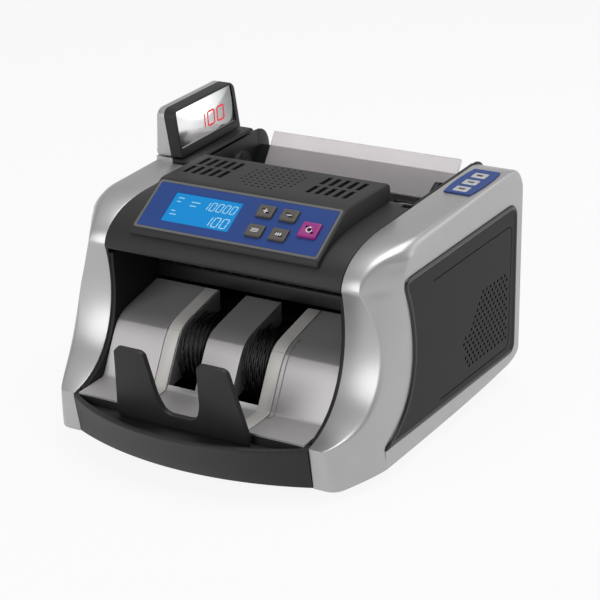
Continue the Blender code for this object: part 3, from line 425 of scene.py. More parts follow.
def glowing(finish, colour, strength):
    shader = finish.node_tree.nodes["Principled BSDF"]
    shader.inputs["Emission Color"].default_value = (*colour, 1.0)
    shader.inputs["Emission Strength"].default_value = strength


def see_through(finish, share, bending):
    shader = finish.node_tree.nodes["Principled BSDF"]
    shader.inputs["Transmission Weight"].default_value = share
    shader.inputs["IOR"].default_value = bending


def reflection_painted_along(finish, axis, low, high, start, end):
    """Paint a reflection into a finish's colour: let it run from one tone to another along an axis."""
    tree = finish.node_tree
    shader = tree.nodes["Principled BSDF"]
    place = tree.nodes.new("ShaderNodeTexCoord")
    split = tree.nodes.new("ShaderNodeSeparateXYZ")
    span = add_node(tree, "ShaderNodeMapRange", **{"From Min": low * MM, "From Max": high * MM})
    ramp = tree.nodes.new("ShaderNodeValToRGB")
    ramp.color_ramp.elements[0].color = (*start, 1.0)
    ramp.color_ramp.elements[1].color = (*end, 1.0)
    link = tree.links.new
    link(place.outputs["Object"], split.inputs["Vector"])
    link(split.outputs[axis], span.inputs["Value"])
    link(span.outputs["Result"], ramp.inputs["Fac"])
    link(ramp.outputs["Color"], shader.inputs["Base Color"])


def brushed(finish, stretch):
    """Draw a finish's grain out into fine lines."""
    tree = finish.node_tree
    place = next(node for node in tree.nodes if node.type == "TEX_COORD")
    fine = [node for node in tree.nodes if node.type == "TEX_NOISE"][1]
    lines = add_node(tree, "ShaderNodeMapping", Scale=stretch)
    tree.links.new(place.outputs["Object"], lines.inputs["Vector"])
    tree.links.new(lines.outputs["Vector"], fine.inputs["Vector"])


SILVER = paint("silver_paint", (0.46, 0.455, 0.46), 0.36, 0.75, grain=2600.0, depth=0.012, mottle=0.02)
STACKER_SILVER = paint("stacker_silver", (0.52, 0.505, 0.51), 0.44, 0.4, grain=2600.0, depth=0.012,
                       mottle=0.02)
CHARCOAL = paint("charcoal_plastic", (0.024, 0.024, 0.025), 0.5, grain=1500.0, depth=0.04, level=0.28)
COVER_GREY = paint("cover_grey", (0.017, 0.017, 0.018), 0.5, grain=1500.0, depth=0.04, level=0.16)
COMB_BLACK = paint("comb_black", (0.006, 0.006, 0.006), 0.7, grain=1500.0, level=0.08)
# Lighter grey for the band round the keypad overlay: a painted highlight on the console's charcoal rim.
RIM_HIGHLIGHT_GREY = paint("painted_highlight_grey", (0.15, 0.15, 0.155), 0.5, grain=1500.0, level=0.3)
BLACK = paint("black_plastic", (0.009, 0.009, 0.009), 0.45, grain=1500.0, depth=0.03, level=0.3)
GLOSS_BLACK = paint("gloss_black", (0.008, 0.008, 0.009), 0.22, grain=1200.0, depth=0.008)
CHEEK_BLACK = paint("cheek_black", (0.012, 0.012, 0.012), 0.5, grain=1500.0, depth=0.03, level=0.25)
BLUE = paint("blue_overlay", (0.022, 0.062, 0.25), 0.45, grain=2200.0, depth=0.012, mottle=0.03,
             level=0.25)
LCD_BLUE = paint("lcd_blue", (0.0, 0.03, 0.08), 0.4, grain=3000.0, depth=0.0, level=0.2)
LCD_INK = paint("lcd_ink", (0.05, 0.1, 0.12), 0.4, depth=0.0)
KEY_GREY = paint("key_grey", (0.085, 0.077, 0.068), 0.5, grain=1800.0, depth=0.03)
KEY_MAGENTA = paint("key_magenta", (0.34, 0.024, 0.225), 0.42, grain=1800.0, depth=0.03)
KEY_SILVER = paint("key_silver", (0.55, 0.55, 0.57), 0.4, 0.3, grain=1800.0)
MARK_WHITE = paint("mark_white", (0.75, 0.75, 0.75), 0.5, depth=0.0)
TINTED = paint("tinted_plastic", (0.88, 0.845, 0.855), 0.12, depth=0.0, mottle=0.02)
WINDOW = paint("display_mirror", (0.6, 0.6, 0.6), 0.14, 0.9, depth=0.0)
DIGIT_RED = paint("digit_red", (0.7, 0.03, 0.04), 0.4, depth=0.0)
RUBBER = paint("black_rubber", (0.01, 0.01, 0.01), 0.62, grain=1100.0, depth=0.05)
FIN_RUBBER = paint("fin_rubber", (0.004, 0.004, 0.004), 0.4, grain=1100.0, level=0.3)
STEEL = paint("steel", (0.5, 0.5, 0.51), 0.3, 1.0, grain=1400.0)
BEIGE = paint("beige_strip", (0.74, 0.72, 0.69), 0.4, 0.1, grain=1200.0, depth=0.015, mottle=0.03)
ZINC = paint("motor_zinc", (0.42, 0.42, 0.43), 0.4, 0.9, grain=700.0, depth=0.03)
GREEN = paint("board_green", (0.01, 0.11, 0.05), 0.4, grain=500.0, depth=0.03)
IRON = paint("core_iron", (0.12, 0.11, 0.1), 0.5, 0.6, depth=0.05)
ROCKER = paint("rocker_black", (0.014, 0.014, 0.014), 0.25, grain=1200.0, depth=0.01)
glowing(LCD_BLUE, (0.0, 0.24, 0.61), 0.9)
glowing(LCD_INK, (0.34, 0.62, 0.76), 0.9)
glowing(DIGIT_RED, (0.75, 0.02, 0.03), 0.6)
brushed(STEEL, (0.05, 1.0, 1.0))
# Painted reflection: the display window's colour runs from near white to grey along y, standing in for what
# the glass mirrors.
reflection_painted_along(WINDOW, "Y", 55.0, 116.0, (0.98, 0.98, 0.98), (0.24, 0.25, 0.25))
see_through(TINTED, 0.62, 1.1)


# Side panels and their covers

def body_runs():
    steps = RUN_STEPS
    return [
        line(TOE_BOTTOM, TOE_TOP, steps[0]),
        bezier(TOE_TOP, (-66.0, 48.0), (-63.0, 105.0), WAIST, steps[1]),
        bezier(WAIST, (-71.0, 153.0), (-48.0, 162.3), ROOF_FRONT, steps[2]),
        line(ROOF_FRONT, ROOF_REAR, steps[3]),
        bezier(ROOF_REAR, (136.0, 170.7), (148.0, 165.0), REAR_TOP, steps[4]),
        line(REAR_TOP, REAR_FOOT, steps[5]),
        bezier(REAR_FOOT, (146.5, 16.0), (139.0, 12.5), HEEL, steps[6]),
        bezier(HEEL, (90.0, 8.5), (50.0, BASE_BOTTOM), TOE_BOTTOM, steps[7]),
    ]


def cover_runs():
    steps = RUN_STEPS
    tip_low, tip_high = (-72.0, 24.0), (-70.5, 27.0)
    front_top, top_front, top_rear = (-42.6, 131.5), (-18.0, 140.3), (122.0, 143.6)
    rear_top, rear_low, heel = (134.0, 132.0), (134.0, 34.0), (125.0, 24.0)
    return [
        line(tip_low, tip_high, steps[0]),
        bezier(tip_high, (-18.0, 45.0), (-27.0, 100.0), front_top, steps[1]),
        bezier(front_top, (-45.6, 140.5), (-42.0, 139.7), top_front, steps[2]),
        line(top_front, top_rear, steps[3]),
        bezier(top_rear, (130.0, 143.8), (134.0, 140.0), rear_top, steps[4]),
        line(rear_top, rear_low, steps[5]),
        bezier(rear_low, (134.0, 28.0), (131.0, 24.0), heel, steps[6]),
        line(heel, tip_low, steps[7]),
    ]


# Where each run of the outline starts: crease distance from the middle plane, the inward
# shift (y, z) from crease to flat side, how strongly the wall between them curls, and the
# size of the bead that rounds the crease
FLARE = (
    (115.5, 46.0, 3.0, 1.3, 8.0),
    (109.0, 43.0, -8.0, 1.25, 0.7),
    (112.3, 27.0, 1.0, 1.05, 0.7),
    (129.0, 3.0, -10.0, 2.0, 4.0),
    (130.4, -2.0, -10.0, 2.0, 2.0),
    (128.0, -3.0, -4.0, 2.0, 2.0),
    (128.0, -3.0, 3.0, 2.0, 2.0),
    (126.0, -3.0, 6.0, 2.0, 2.0),
)

# Along the scoop the crease swells and the wall curls more, most of all below the middle
SCOOP_BULGE = 18.5
SCOOP_CURL = 1.6
SCOOP_SKEW = 0.82
SCOOP_BEAD = 4.3
BEAD_END = 0.68
NOSE_EASE = 1.5
NOSE_BEAD = 3.0
SOFT_FADE = 2.2
ROLL_SHARES = (0.08, 0.16, 0.25, 0.34, 0.43, 0.52, 0.61, 0.7, 0.79, 0.88, 0.95, 1.0)
BEAD_SHARES = (0.0, 0.17, 0.33, 0.5, 0.67, 0.83, 1.0)


def flat(runs):
    return [point for run in runs for point in run]


def flare_values():
    values = []
    for run, steps in enumerate(RUN_STEPS):
        start, end = FLARE[run], FLARE[(run + 1) % len(FLARE)]
        for i in range(steps):
            share = i / steps
            swell, swollen = 0.0, 0.0
            if run == SCOOP_RUN:
                swell = math.sin(math.pi * share ** SCOOP_SKEW)
                swollen = SCOOP_BEAD * max(0.0, math.sin(math.pi * min(1.0, share / BEAD_END)))
            if run == NOSE_RUN:
                swollen = NOSE_BEAD * math.sin(math.pi * share)
                eased = share ** NOSE_EASE
                share = eased * eased * (3.0 - 2.0 * eased)
            crease, dy, dz, curl, bead = (mix(a, b, share) for a, b in zip(start, end))
            values.append((crease + SCOOP_BULGE * swell, dy, dz, curl + SCOOP_CURL * swell, bead + swollen))
    return values


def soft_outline(outline):
    """Body outline with the corner under the nose smoothed away."""
    waist = RUN_STEPS[0] + RUN_STEPS[1]
    passes, reach = 14, 9
    soft = list(outline)
    for _ in range(passes):
        for i in range(waist - reach, waist + reach + 1):
            (y0, z0), (y, z), (y1, z1) = soft[i - 1], soft[i], soft[i + 1]
            soft[i] = ((y0 + 2 * y + y1) / 4, (z0 + 2 * z + z1) / 4)
    return soft


def wall_point(spot, value, share):
    """Point of the panel's wall a share of the way from the crease to the flat side."""
    (y, z), (crease, dy, dz, curl, _) = spot, value
    rise = 1.0 - (1.0 - share) ** curl
    return Vector((mix(crease, PANEL_SIDE, rise), y + dy * share, z + dz * share))


def bead_end(value):
    """Share of the wall that the bead along the crease takes."""
    crease, dy, dz, _, bead = value
    return min(0.4, bead / Vector((PANEL_SIDE - crease, dy, dz)).length)


def panel_rows(side):
    """Rows of the moulded panel: its inner edge, scooped face, crease, rolled side and cover seat."""
    outline = flat(body_runs())
    soft = soft_outline(outline)
    values = flare_values()
    seat = shifted(flat(cover_runs()), 0.4)
    centre_y, centre_z, shrink = 60.0, 80.0, 0.93
    opening = [(mix(centre_y, y, shrink), mix(centre_z, z, shrink)) for y, z in seat]
    rows = [
        [(PANEL_INNER, y, z) for y, z in shifted(outline, -0.8)],
        [(PANEL_INNER + 0.2, y, z) for y, z in shifted(outline, -0.25)],
        [(PANEL_INNER + 0.8, y, z) for y, z in outline],
    ]
    for share in BEAD_SHARES:
        row = []
        for spot, value in zip(outline, values):
            corner = wall_point(spot, value, 0.0)
            before = corner - Vector((value[4], 0.0, 0.0))
            after = wall_point(spot, value, bead_end(value))
            row.append(tuple(before.lerp(corner, share).lerp(corner.lerp(after, share), share)))
        rows.append(row)
    for share in ROLL_SHARES:
        fade = min(1.0, SOFT_FADE * share)
        row = []
        for (y, z), (v, w), value in zip(outline, soft, values):
            spot = (mix(y, v, fade), mix(z, w, fade))
            row.append(tuple(wall_point(spot, value, mix(bead_end(value), 1.0, share))))
        rows.append(row)
    rows += [
        [(PANEL_SIDE, y, z) for y, z in seat],
        [(COVER_SEAT, y, z) for y, z in seat],
        [(COVER_SEAT, y, z) for y, z in opening],
        [(COVER_SEAT - SHELL, y, z) for y, z in opening],
        [(PANEL_INNER, y, z) for y, z in shifted(outline, -3.0)],
    ]
    return [[(side * x, y, z) for x, y, z in row] for row in rows]


def add_panels():
    right = skinned("right_panel", panel_rows(1), along=True)
    x, y = FUNCTION_CENTRE
    margin, deep, above = 1.6, 9.0, 3.0
    half_u, half_s = FUNCTION_KEY_SIZE[0] / 2 + margin, FUNCTION_KEY_SIZE[1] / 2 + margin
    wells = []
    for along in FUNCTION_KEYS.values():
        middle, z = y + along, roof(y + along)
        low, high = (x - half_u, middle - half_s, z - deep), (x + half_u, middle + half_s, z + above)
        wells.append(boxed("well", low, high))
    carve(right, joined(wells))
    dress(right, SILVER, "chassis", "silver_paint", "right_side_panel", smooth=40.0)
    left = skinned("left_panel", panel_rows(-1), along=True)
    lift = pod_place()
    pad = boxed("pad", (-8.5, -DISPLAY_HALF, -DISPLAY_LIFT - 1.0), (6.0, DISPLAY_HALF, -0.8))
    weld(left, put(pad, lift))
    bore = turned("bore", [(-12.0, PIN_BORE), (5.0, PIN_BORE)], (0.0, 0.0), "z", 24)
    carve(left, put(bore, lift))
    dress(left, SILVER, "chassis", "silver_paint", "left_side_panel", smooth=40.0)


def grille_points():
    """Staggered hole centres of the side grille, inside its slanted front edge and straight rear edge."""
    rows, pitch_y, pitch_z = 14, 6.2, 3.9
    foot, knee, top = 41.0, 60.0, 92.0
    front_foot, front_knee, front_top, rear = 52.0, 45.0, 76.0, 118.0
    points = []
    for row in range(rows):
        z = foot + row * pitch_z
        front = mix(front_foot, front_knee, (z - foot) / (knee - foot))
        if z > knee:
            front = mix(front_knee, front_top, (z - knee) / (top - knee))
        y = rear - (pitch_y / 2 if row % 2 else 0.0)
        while y > front:
            points.append((y, z))
            y -= pitch_y
    return points


def beside(side, near, far):
    """Two heights over a side cover's face, as limits in x on that side of the machine."""
    return sorted((side * (COVER_FACE + near), side * (COVER_FACE + far)))


def add_cover(name, side):
    hole, hole_sides, groove_deep, groove_wide, rim_drop, rim_radius = 1.35, 10, 0.7, 0.8, 1.4, 2.2
    cover = extruded(name + "_cover", flat(cover_runs()), "x", *beside(side, -SHELL, 0.0))
    span = beside(side, -4.0, 1.0)
    holes = [extruded("hole", ring(spot, hole, hole_sides), "x", *span) for spot in grille_points()]
    carve(cover, joined(holes))
    upper = arc((119.0, 122.0), 6.0, 90.0, 2.0, 6)
    lower = arc((116.5, 38.0), 6.0, 0.0, -90.0, 6)
    path = [(-2.0, 126.0), (60.0, 127.2), *upper, (122.5, 40.0), *lower, (10.0, 32.0)]
    carve(cover, extruded("groove", band(path, groove_wide), "x", *beside(side, -groove_deep, 1.0)))
    dress(cover, COVER_GREY, "chassis", "charcoal_plastic", name + "_side_cover")
    centre = [(side * (COVER_FACE - rim_drop), y, z) for y, z in rim_path()]
    rim = tube(name + "_cover_rim", centre, rim_radius, closed=True)
    dress(rim, GLOSS_BLACK, "chassis", "charcoal_plastic", smooth=60.0)


def rim_path():
    """Centre line of the bead round the side cover, with its front tip rounded."""
    outline = flat(cover_runs())
    start = RUN_STEPS[0] + 2
    tip = bezier((-60.0, 25.6), (-68.0, 25.2), (-70.0, 26.0), (-60.0, 30.0), 6)
    return tip + shifted(outline[start:-1], -1.3, closed=False)


def tube(name, path, radius, closed=False, sides=3):
    """A round bead along a path, drawn as a bevelled curve and made a mesh."""
    curve = bpy.data.curves.new(name, "CURVE")
    curve.dimensions = "3D"
    curve.bevel_depth = radius * MM
    curve.bevel_resolution = sides
    curve.use_fill_caps = True
    spline = curve.splines.new("POLY")
    spline.points.add(len(path) - 1)
    spline.use_cyclic_u = closed
    for knot, point in zip(spline.points, path):
        knot.co = (*(Vector(point) * MM), 1.0)
    piece = bpy.data.objects.new(name, curve)
    bpy.context.scene.collection.objects.link(piece)
    pick(piece)
    bpy.ops.object.convert(target="MESH")
    return mend(bpy.context.object)


# Front cover and console

def add_front_cover():
    face = body_runs()[2] + [ROOF_FRONT, (33.0, roof(33.0))]
    inside = shifted(face, -SHELL, closed=False)
    lip = [(-52.0, 133.4), (-52.0, 130.9), (-72.2, 134.0)]
    profile = face + inside[:0:-1] + [(-69.4, 137.0)] + lip
    cover = extruded("front_cover_skin", profile, "x", -CHEEK_OUTER, CHEEK_OUTER)
    soften(cover, 0.7, 3, 50.0)
    carve(cover, boxed("cable_opening", (-71.0, -62.0, 149.0), (71.0, 26.0, 172.0)))
    for side in (-1, 1):
        low, high = sorted((side * 90.5, side * 99.0))
        carve(cover, boxed("latch_notch", (low, 26.0, 160.0), (high, 34.0, 170.0)))
    dress(cover, CHARCOAL, "chassis", "charcoal_plastic", "front_cover")


def slope_box(u0, u1, s0, s1, w0, w1, radius=0.0):
    """A plate on the console's slope, across, along and out of it, with rounded corners."""
    outline = [(u0, s0), (u1, s0), (u1, s1), (u0, s1)]
    if radius:
        outline = rounded_box(u0, u1, s0, s1, radius)
    return put(extruded("slope_box", outline, "z", w0, w1), SLOPE)


def key_window(u, s, size):
    """Limits of the opening round a key."""
    half_u, half_s = size[0] / 2 + KEY_GAP, size[1] / 2 + KEY_GAP
    return u - half_u, u + half_u, s - half_s, s + half_s


def vent_slots():
    slots = []
    width, length, pitch, columns = 3.7, 16.0, 7.4, 5
    for start in (-68.6, 35.6):
        for column in range(columns):
            for front in (-11.5, 8.0):
                x = start + column * pitch
                outline = rounded_box(x - width / 2, x + width / 2, front, front + length, 0.8, 2)
                slots.append(extruded("vent", outline, "z", *TOP_CUT))
    return joined(slots)


def speaker_holes():
    """Square lattice of small holes inside a field with soft corners."""
    holes = []
    pitch, reach, radius, sides = 5.2, 22.0, 1.1, 8
    middle_x, middle_y = -2.0, 5.0
    for row in range(-4, 5):
        for column in range(-4, 5):
            x, y = column * pitch, row * pitch
            if abs(x) ** 3 + abs(y) ** 3 < reach ** 3:
                outline = ring((x + middle_x, y + middle_y), radius, sides)
                holes.append(extruded("hole", outline, "z", *TOP_CUT))
    return joined(holes)


def add_console():
    profile = [(-70.0, 148.2), SLOPE_FOOT, SLOPE_HEAD, (-23.5, 178.9), (31.0, 180.0), (34.5, 177.6),
               (36.0, 160.0), (-58.0, 141.0)]
    console = extruded("console_shell", profile, "x", -CONSOLE_HALF, CONSOLE_HALF)
    soften(console, 1.3, 4, 15.0)
    inner = shifted(profile, -SHELL)
    inner[0] = (inner[0][0], 140.0)
    inner[-1] = (-50.0, 130.0)
    inner[-2] = (inner[-2][0], 130.0)
    carve(console, extruded("hollow", inner, "x", SHELL - CONSOLE_HALF, CONSOLE_HALF - SHELL))
    face = body_runs()[2] + [ROOF_FRONT, (33.0, roof(33.0)), (45.0, roof(45.0))]
    seat = shifted(face, 0.3, closed=False)
    carve(console, extruded("seat", seat + [(45.0, 100.0), (-78.0, 100.0)], "x", -90.0, 90.0))
    front, rear = OVERLAY_RUN
    reach = OVERLAY_HALF + KEY_GAP
    carve(console, slope_box(-reach, reach, front - KEY_GAP, rear + KEY_GAP, -0.9, 5.0, 1.5))
    u0, u1, s0, s1 = LCD_WINDOW
    openings = [slope_box(u0 - 1.0, u1 + 1.0, s0 - 1.0, s1 + 1.0, -4.0, 2.0)]
    for u, s, size in KEYS.values():
        openings.append(slope_box(*key_window(u, s, size), -4.0, 2.0))
    carve(console, joined(openings))
    carve(console, vent_slots())
    carve(console, speaker_holes())
    dress(console, CHARCOAL, "chassis", "charcoal_plastic", "control_console", smooth=30.0)


# Seven segment figures: which bars each figure lights

SEGMENTS = {"0": "abcdef", "1": "bc"}
BARS = {
    "a": (0.12, 1.0, 0.88, 1.0),
    "b": (1.0, 0.94, 1.0, 0.56),
    "c": (1.0, 0.44, 1.0, 0.06),
    "d": (0.12, 0.0, 0.88, 0.0),
    "e": (0.0, 0.44, 0.0, 0.06),
    "f": (0.0, 0.94, 0.0, 0.56),
}


def figure_bars(text, left, foot, width, height, pitch, stroke, lean, low, high):
    """Flat bars that spell a number, drawn upright in a plane and slanted."""
    bars = []
    for place, figure in enumerate(text):
        for bar in SEGMENTS[figure]:
            u0, v0, u1, v1 = BARS[bar]
            start = Vector((u0 * width, v0 * height))
            end = Vector((u1 * width, v1 * height))
            run = (end - start).normalized()
            across = Vector((-run.y, run.x)) * stroke / 2
            nib = run * stroke / 2
            corners = [start - nib, start - across, end - across, end + nib, end + across, start + across]
            origin = left + place * pitch
            outline = [(origin + point.x + lean * point.y, foot + point.y) for point in corners]
            bars.append(extruded("bar", outline, "z", low, high))
    return joined(bars)


def add_lcd():
    lcd = frame["nodes"]["lcd_module"]
    lcd.data.materials.clear()
    lcd.data.materials.append(LCD_BLUE)
    low, high, thick, lean = 0.05, 0.2, 0.7, 0.14
    marks = [
        figure_bars("10000", -30.5, 26.6, 3.6, 7.2, 5.7, 0.62, lean, low, high),
        figure_bars("100", -23.5, 13.2, 4.6, 8.4, 7.0, 0.75, lean, low, high),
    ]
    for u, s, width in ((-53.5, 33.0, 5.0), (-53.5, 29.6, 3.6), (-53.5, 21.0, 3.4), (-53.5, 17.8, 5.4),
                        (-41.5, 31.0, 7.6), (-41.5, 27.6, 5.4)):
        marks.append(extruded("mark", rounded_box(u, u + width, s, s + thick, 0.2, 2), "z", low, 0.16))
    ink = put(joined(marks), SLOPE)
    ink.name = "lcd_figures"
    dress(ink, LCD_INK, "chassis", "lcd_blue")


def add_overlay():
    front, rear = OVERLAY_RUN
    outline = rounded_box(-OVERLAY_HALF, OVERLAY_HALF, front, rear, 1.4)
    overlay = extruded("overlay_sheet", outline, "z", -0.6, 0.2)
    windows = [extruded("window", rounded_box(*LCD_WINDOW, 0.8, 3), "z", -3.0, 3.0)]
    for u, s, size in KEYS.values():
        windows.append(extruded("window", rounded_box(*key_window(u, s, size), 1.4, 4), "z", -3.0, 3.0))
    carve(overlay, joined(windows))
    put(overlay, SLOPE)
    dress(overlay, BLUE, "chassis", "blue_overlay", "keypad_overlay")
    # A lighter grey band round the overlay: painted highlight standing in for the lit rim of the console.
    reach = OVERLAY_HALF + OVERLAY_BORDER
    edge = rounded_box(-reach, reach, front - OVERLAY_BORDER, rear + OVERLAY_BORDER, 2.0)
    border = extruded("overlay_border", edge, "z", -0.3, 0.25)
    carve(border, extruded("inside", shifted(outline, -0.2), "z", -2.0, 2.0))
    put(soften(border, 0.15, 2, 60.0), SLOPE)
    dress(border, RIM_HIGHLIGHT_GREY, "chassis", "charcoal_plastic")


def key_cap(name, width, length, foot, top, radius):
    """A key with a skirt, upright walls, rounded shoulders and a faintly dished top."""
    cap = rounded_box(-width / 2, width / 2, -length / 2, length / 2, radius)
    skirt, step = -1.1, foot + 1.5
    levels = [(foot, skirt), (step, skirt), (step, 0.0), (top - 0.6, 0.0), (top - 0.2, 0.15), (top, 0.55),
              (top - 0.05, 1.6), (top - 0.18, 3.2)]
    rows = [[(u, v, height) for u, v in shifted(cap, inset)] for height, inset in levels]
    return skinned(name, rows, capped=True)


def key_marks(name, low, high):
    """Plain signs on the key tops."""
    bar = rounded_box(-1.9, 1.9, -0.42, 0.42, 0.1, 2)
    shapes = {
        "plus_key": [bar, rounded_box(-0.42, 0.42, -1.9, 1.9, 0.1, 2)],
        "minus_key": [bar],
        "batch_key": [rounded_box(-3.0, 3.0, v, v + 0.55, 0.1, 2) for v in (-1.5, -0.3, 0.9)],
        "mode_key": [rounded_box(u, u + 1.1, -1.2, 1.2, 0.3, 2) for u in (-2.2, -0.55, 1.1)],
        "reset_key": [arc((0.0, 0.0), 2.6, 60.0, 360.0, 24) + arc((0.0, 0.0), 1.8, 360.0, 60.0, 24)],
    }[name]
    pieces = [extruded("sign", outline, "z", low, high) for outline in shapes]
    if name == "plus_key":
        return weld(pieces[0], pieces[1])
    return joined(pieces)


def add_keys():
    foot, top, corner, sign_low, sign_high = -4.4, 2.2, 1.2, 1.95, 2.12
    for name, (u, s, (width, length)) in KEYS.items():
        body = name.replace("key", "button")
        place = SLOPE @ Matrix.Translation(Vector((u, s, 0.0)) * MM)
        cap = put(key_cap(name + "_cap", width, length, foot, top, corner), place)
        finish, slot = (KEY_MAGENTA, "key_magenta") if name == "reset_key" else (KEY_GREY, "key_grey")
        dress(cap, finish, body, slot, name)
        sign = put(key_marks(name, sign_low, sign_high), place)
        sign.name = name + "_sign"
        dress(sign, MARK_WHITE, body, slot)


def add_function_keys():
    x, y = FUNCTION_CENTRE
    place = Matrix.Translation(Vector((x, y, roof(y) + 0.3)) * MM) @ Matrix.Rotation(ROOF_PITCH, 4, "X")
    corner, belly, end = 10.4, 13.0, 25.9
    edge = bezier((corner, -end), (belly, -end / 3), (belly, end / 3), (corner, end), 16) + [(corner, end)]
    overlay = extruded("function_sheet", edge + [(-u, -v) for u, v in edge], "z", 0.0, 0.8)
    windows = []
    for along in FUNCTION_KEYS.values():
        outline = rounded_box(*key_window(0.0, along, FUNCTION_KEY_SIZE), 0.9, 3)
        windows.append(extruded("window", outline, "z", -3.0, 3.0))
    carve(overlay, joined(windows))
    put(overlay, place)
    dress(overlay, BLUE, "chassis", "blue_overlay", "function_overlay")
    foot, top, turn, sign_low, sign_high = -1.8, 1.3, 0.8, 1.08, 1.2
    for label, along in FUNCTION_KEYS.items():
        body = label + "_function_button"
        spot = place @ Matrix.Translation(Vector((0.0, along, 0.0)) * MM)
        cap = put(key_cap("function_" + label + "_cap", *FUNCTION_KEY_SIZE, foot, top, turn), spot)
        dress(cap, KEY_SILVER, body, "key_silver", "function_key_" + label)
        outline = rounded_box(-2.6, 2.6, -1.2, 1.2, 0.5, 3)
        sign = extruded("function_" + label + "_sign", outline, "z", sign_low, sign_high)
        carve(sign, extruded("inside", rounded_box(-2.0, 2.0, -0.6, 0.6, 0.3, 3), "z", 0.5, 2.5))
        dress(put(sign, spot), KEY_GREY, body, "key_grey")


# Customer display

def pod_place():
    x, y = DISPLAY_PIVOT
    spot = Vector((x, y, roof(y) + DISPLAY_LIFT)) * MM
    return Matrix.Translation(spot) @ Matrix.Rotation(ROOF_PITCH, 4, "X")


def pod_rows(outline, depths):
    """Rows of a shell that leans back: each depth gives x at the foot, x at the top, and an inset."""
    rows = []
    for foot, top, inset in depths:
        row = []
        for v, w in shifted(outline, inset):
            row.append((mix(foot, top, w / DISPLAY_HEIGHT), v, w))
        rows.append(row)
    return rows


def add_pod():
    lift = pod_place()
    half, height = DISPLAY_HALF, DISPLAY_HEIGHT
    face_foot, face_top = 15.0, 10.4
    outline = rounded([(-half, 0.0, 1.5), (half, 0.0, 1.5), (half, height, 7.0), (-half, height, 7.0)], 7)
    depths = [(-9.0, -6.5, 5.0), (-9.0, -6.5, 3.2), (-8.4, -5.9, 1.2), (-7.2, -4.7, 0.2), (-6.0, -3.8, 0.0),
              (5.3, 0.0, 0.0), (5.6, 0.2, 0.4)]
    back = skinned("pod_back", pod_rows(outline, depths), capped=True)
    carve(back, boxed("pocket", (-5.0, 5.0 - half, 5.0), (20.0, half - 5.0, height - 5.0)))
    weld(back, turned("pin", [(-3.7, PIN_RADIUS), (2.0, PIN_RADIUS)], (0.0, 0.0), "z", 24))
    put(back, lift)
    dress(back, SILVER, "customer_display", "silver_paint", "display_back")
    depths = [(5.9, 0.5, 0.5), (6.1, 0.7, 0.0), (14.2, 9.6, 0.0), (14.8, 10.2, 0.2),
              (face_foot, face_top, 0.7)]
    bezel = skinned("pod_bezel", pod_rows(outline, depths), capped=True)
    window = rounded_box(1.9 - half, half - 4.4, 6.4, height - 1.6, 2.0)
    carve(bezel, extruded("opening", window, "x", -8.0, 20.0))
    put(bezel, lift)
    dress(bezel, CHARCOAL, "customer_display", "charcoal_plastic", "display_bezel")
    depths = [(12.4, 7.8, 0.0), (14.2, 9.6, 0.0), (14.4, 9.8, 0.3)]
    pane = skinned("pod_window", pod_rows(shifted(window, 0.3), depths), capped=True)
    put(pane, lift)
    dress(pane, WINDOW, "customer_display", "display_mirror", "display_window")
    figures = figure_bars("100", -13.4, 13.4, 9.0, 10.6, 13.4, 1.4, 0.12, 0.0, 0.12)
    lean = math.atan2(face_foot - face_top, height)
    face = Matrix.Translation(Vector((14.45, 0.0, 0.0)) * MM) @ Matrix.Rotation(-lean, 4, "Y")
    upright = Matrix(((0.0, 0.0, 1.0), (1.0, 0.0, 0.0), (0.0, 1.0, 0.0))).to_4x4()
    put(figures, lift @ face @ upright)
    figures.name = "pod_figures"
    dress(figures, DIGIT_RED, "customer_display", "display_mirror")


# Stacker

def stacker_path():
    return [
        (-15.4, 93.2), (-36.0, 88.4),
        *bezier((-53.0, 84.46), (-65.5, 81.5), (-68.8, 77.8), (-75.5, 65.2), 14),
        *line((-75.5, 65.2), (-87.0, 43.5), 3),
        *bezier((-87.0, 43.5), (-88.6, 40.6), (-90.0, 40.2), (-93.5, 40.2), 8),
        (-93.5, 40.2), (-118.6, 39.4),
    ]


def add_stacker_plate():
    path = stacker_path()
    slot_near, slot_far, wall_half = 15.0, 38.0, 0.55
    rail_middle, rail_half, rail_rise = 51.2, 1.4, 0.9
    strip_near, strip_far, strip_thick = 38.6, 49.0, 0.8
    sheet = extruded("stacker_hoods", band(path, 1.5), "x", -94.0, 94.0)
    for low, high in ((slot_near, slot_far), (-slot_far, -slot_near)):
        carve(sheet, boxed("slot", (low, -86.5, 30.0), (high, -5.0, 110.0)))
    rear_edge = [(-70.0, 43.5), (-58.0, 58.0), (-50.0, 68.0), (-15.4, 78.0)]
    wall = shifted(path[:-4], 0.5, closed=False) + rear_edge
    for edge in (14.4, 38.6):
        for middle in (-edge, edge):
            weld(sheet, extruded("slot_wall", wall, "x", middle - wall_half, middle + wall_half))
    rail = band(shifted(path[2:-1], -rail_rise, closed=False), 1.6)
    for middle in (-rail_middle, rail_middle):
        weld(sheet, extruded("rail", rail, "x", middle - rail_half, middle + rail_half))
    soften(sheet, 0.3, 2, 60.0)
    dress(sheet, STACKER_SILVER, "chassis", "silver_paint", "stacker_plate", smooth=40.0)
    strip_path = shifted([STRIP_TOP, *path[1:-1], STRIP_FOOT], -0.3, closed=False)
    for name, side in SIDES:
        low, high = sorted((side * strip_near, side * strip_far))
        strip = extruded(name + "_strip", band(strip_path, -strip_thick), "x", low, high)
        carve(strip, boxed("seam", (low - 1.0, -67.4, 74.0), (high + 1.0, -66.9, 90.0)))
        soften(strip, 0.15, 2, 60.0)
        dress(strip, BEIGE, "chassis", "beige_strip", name + "_wear_strip", smooth=40.0)


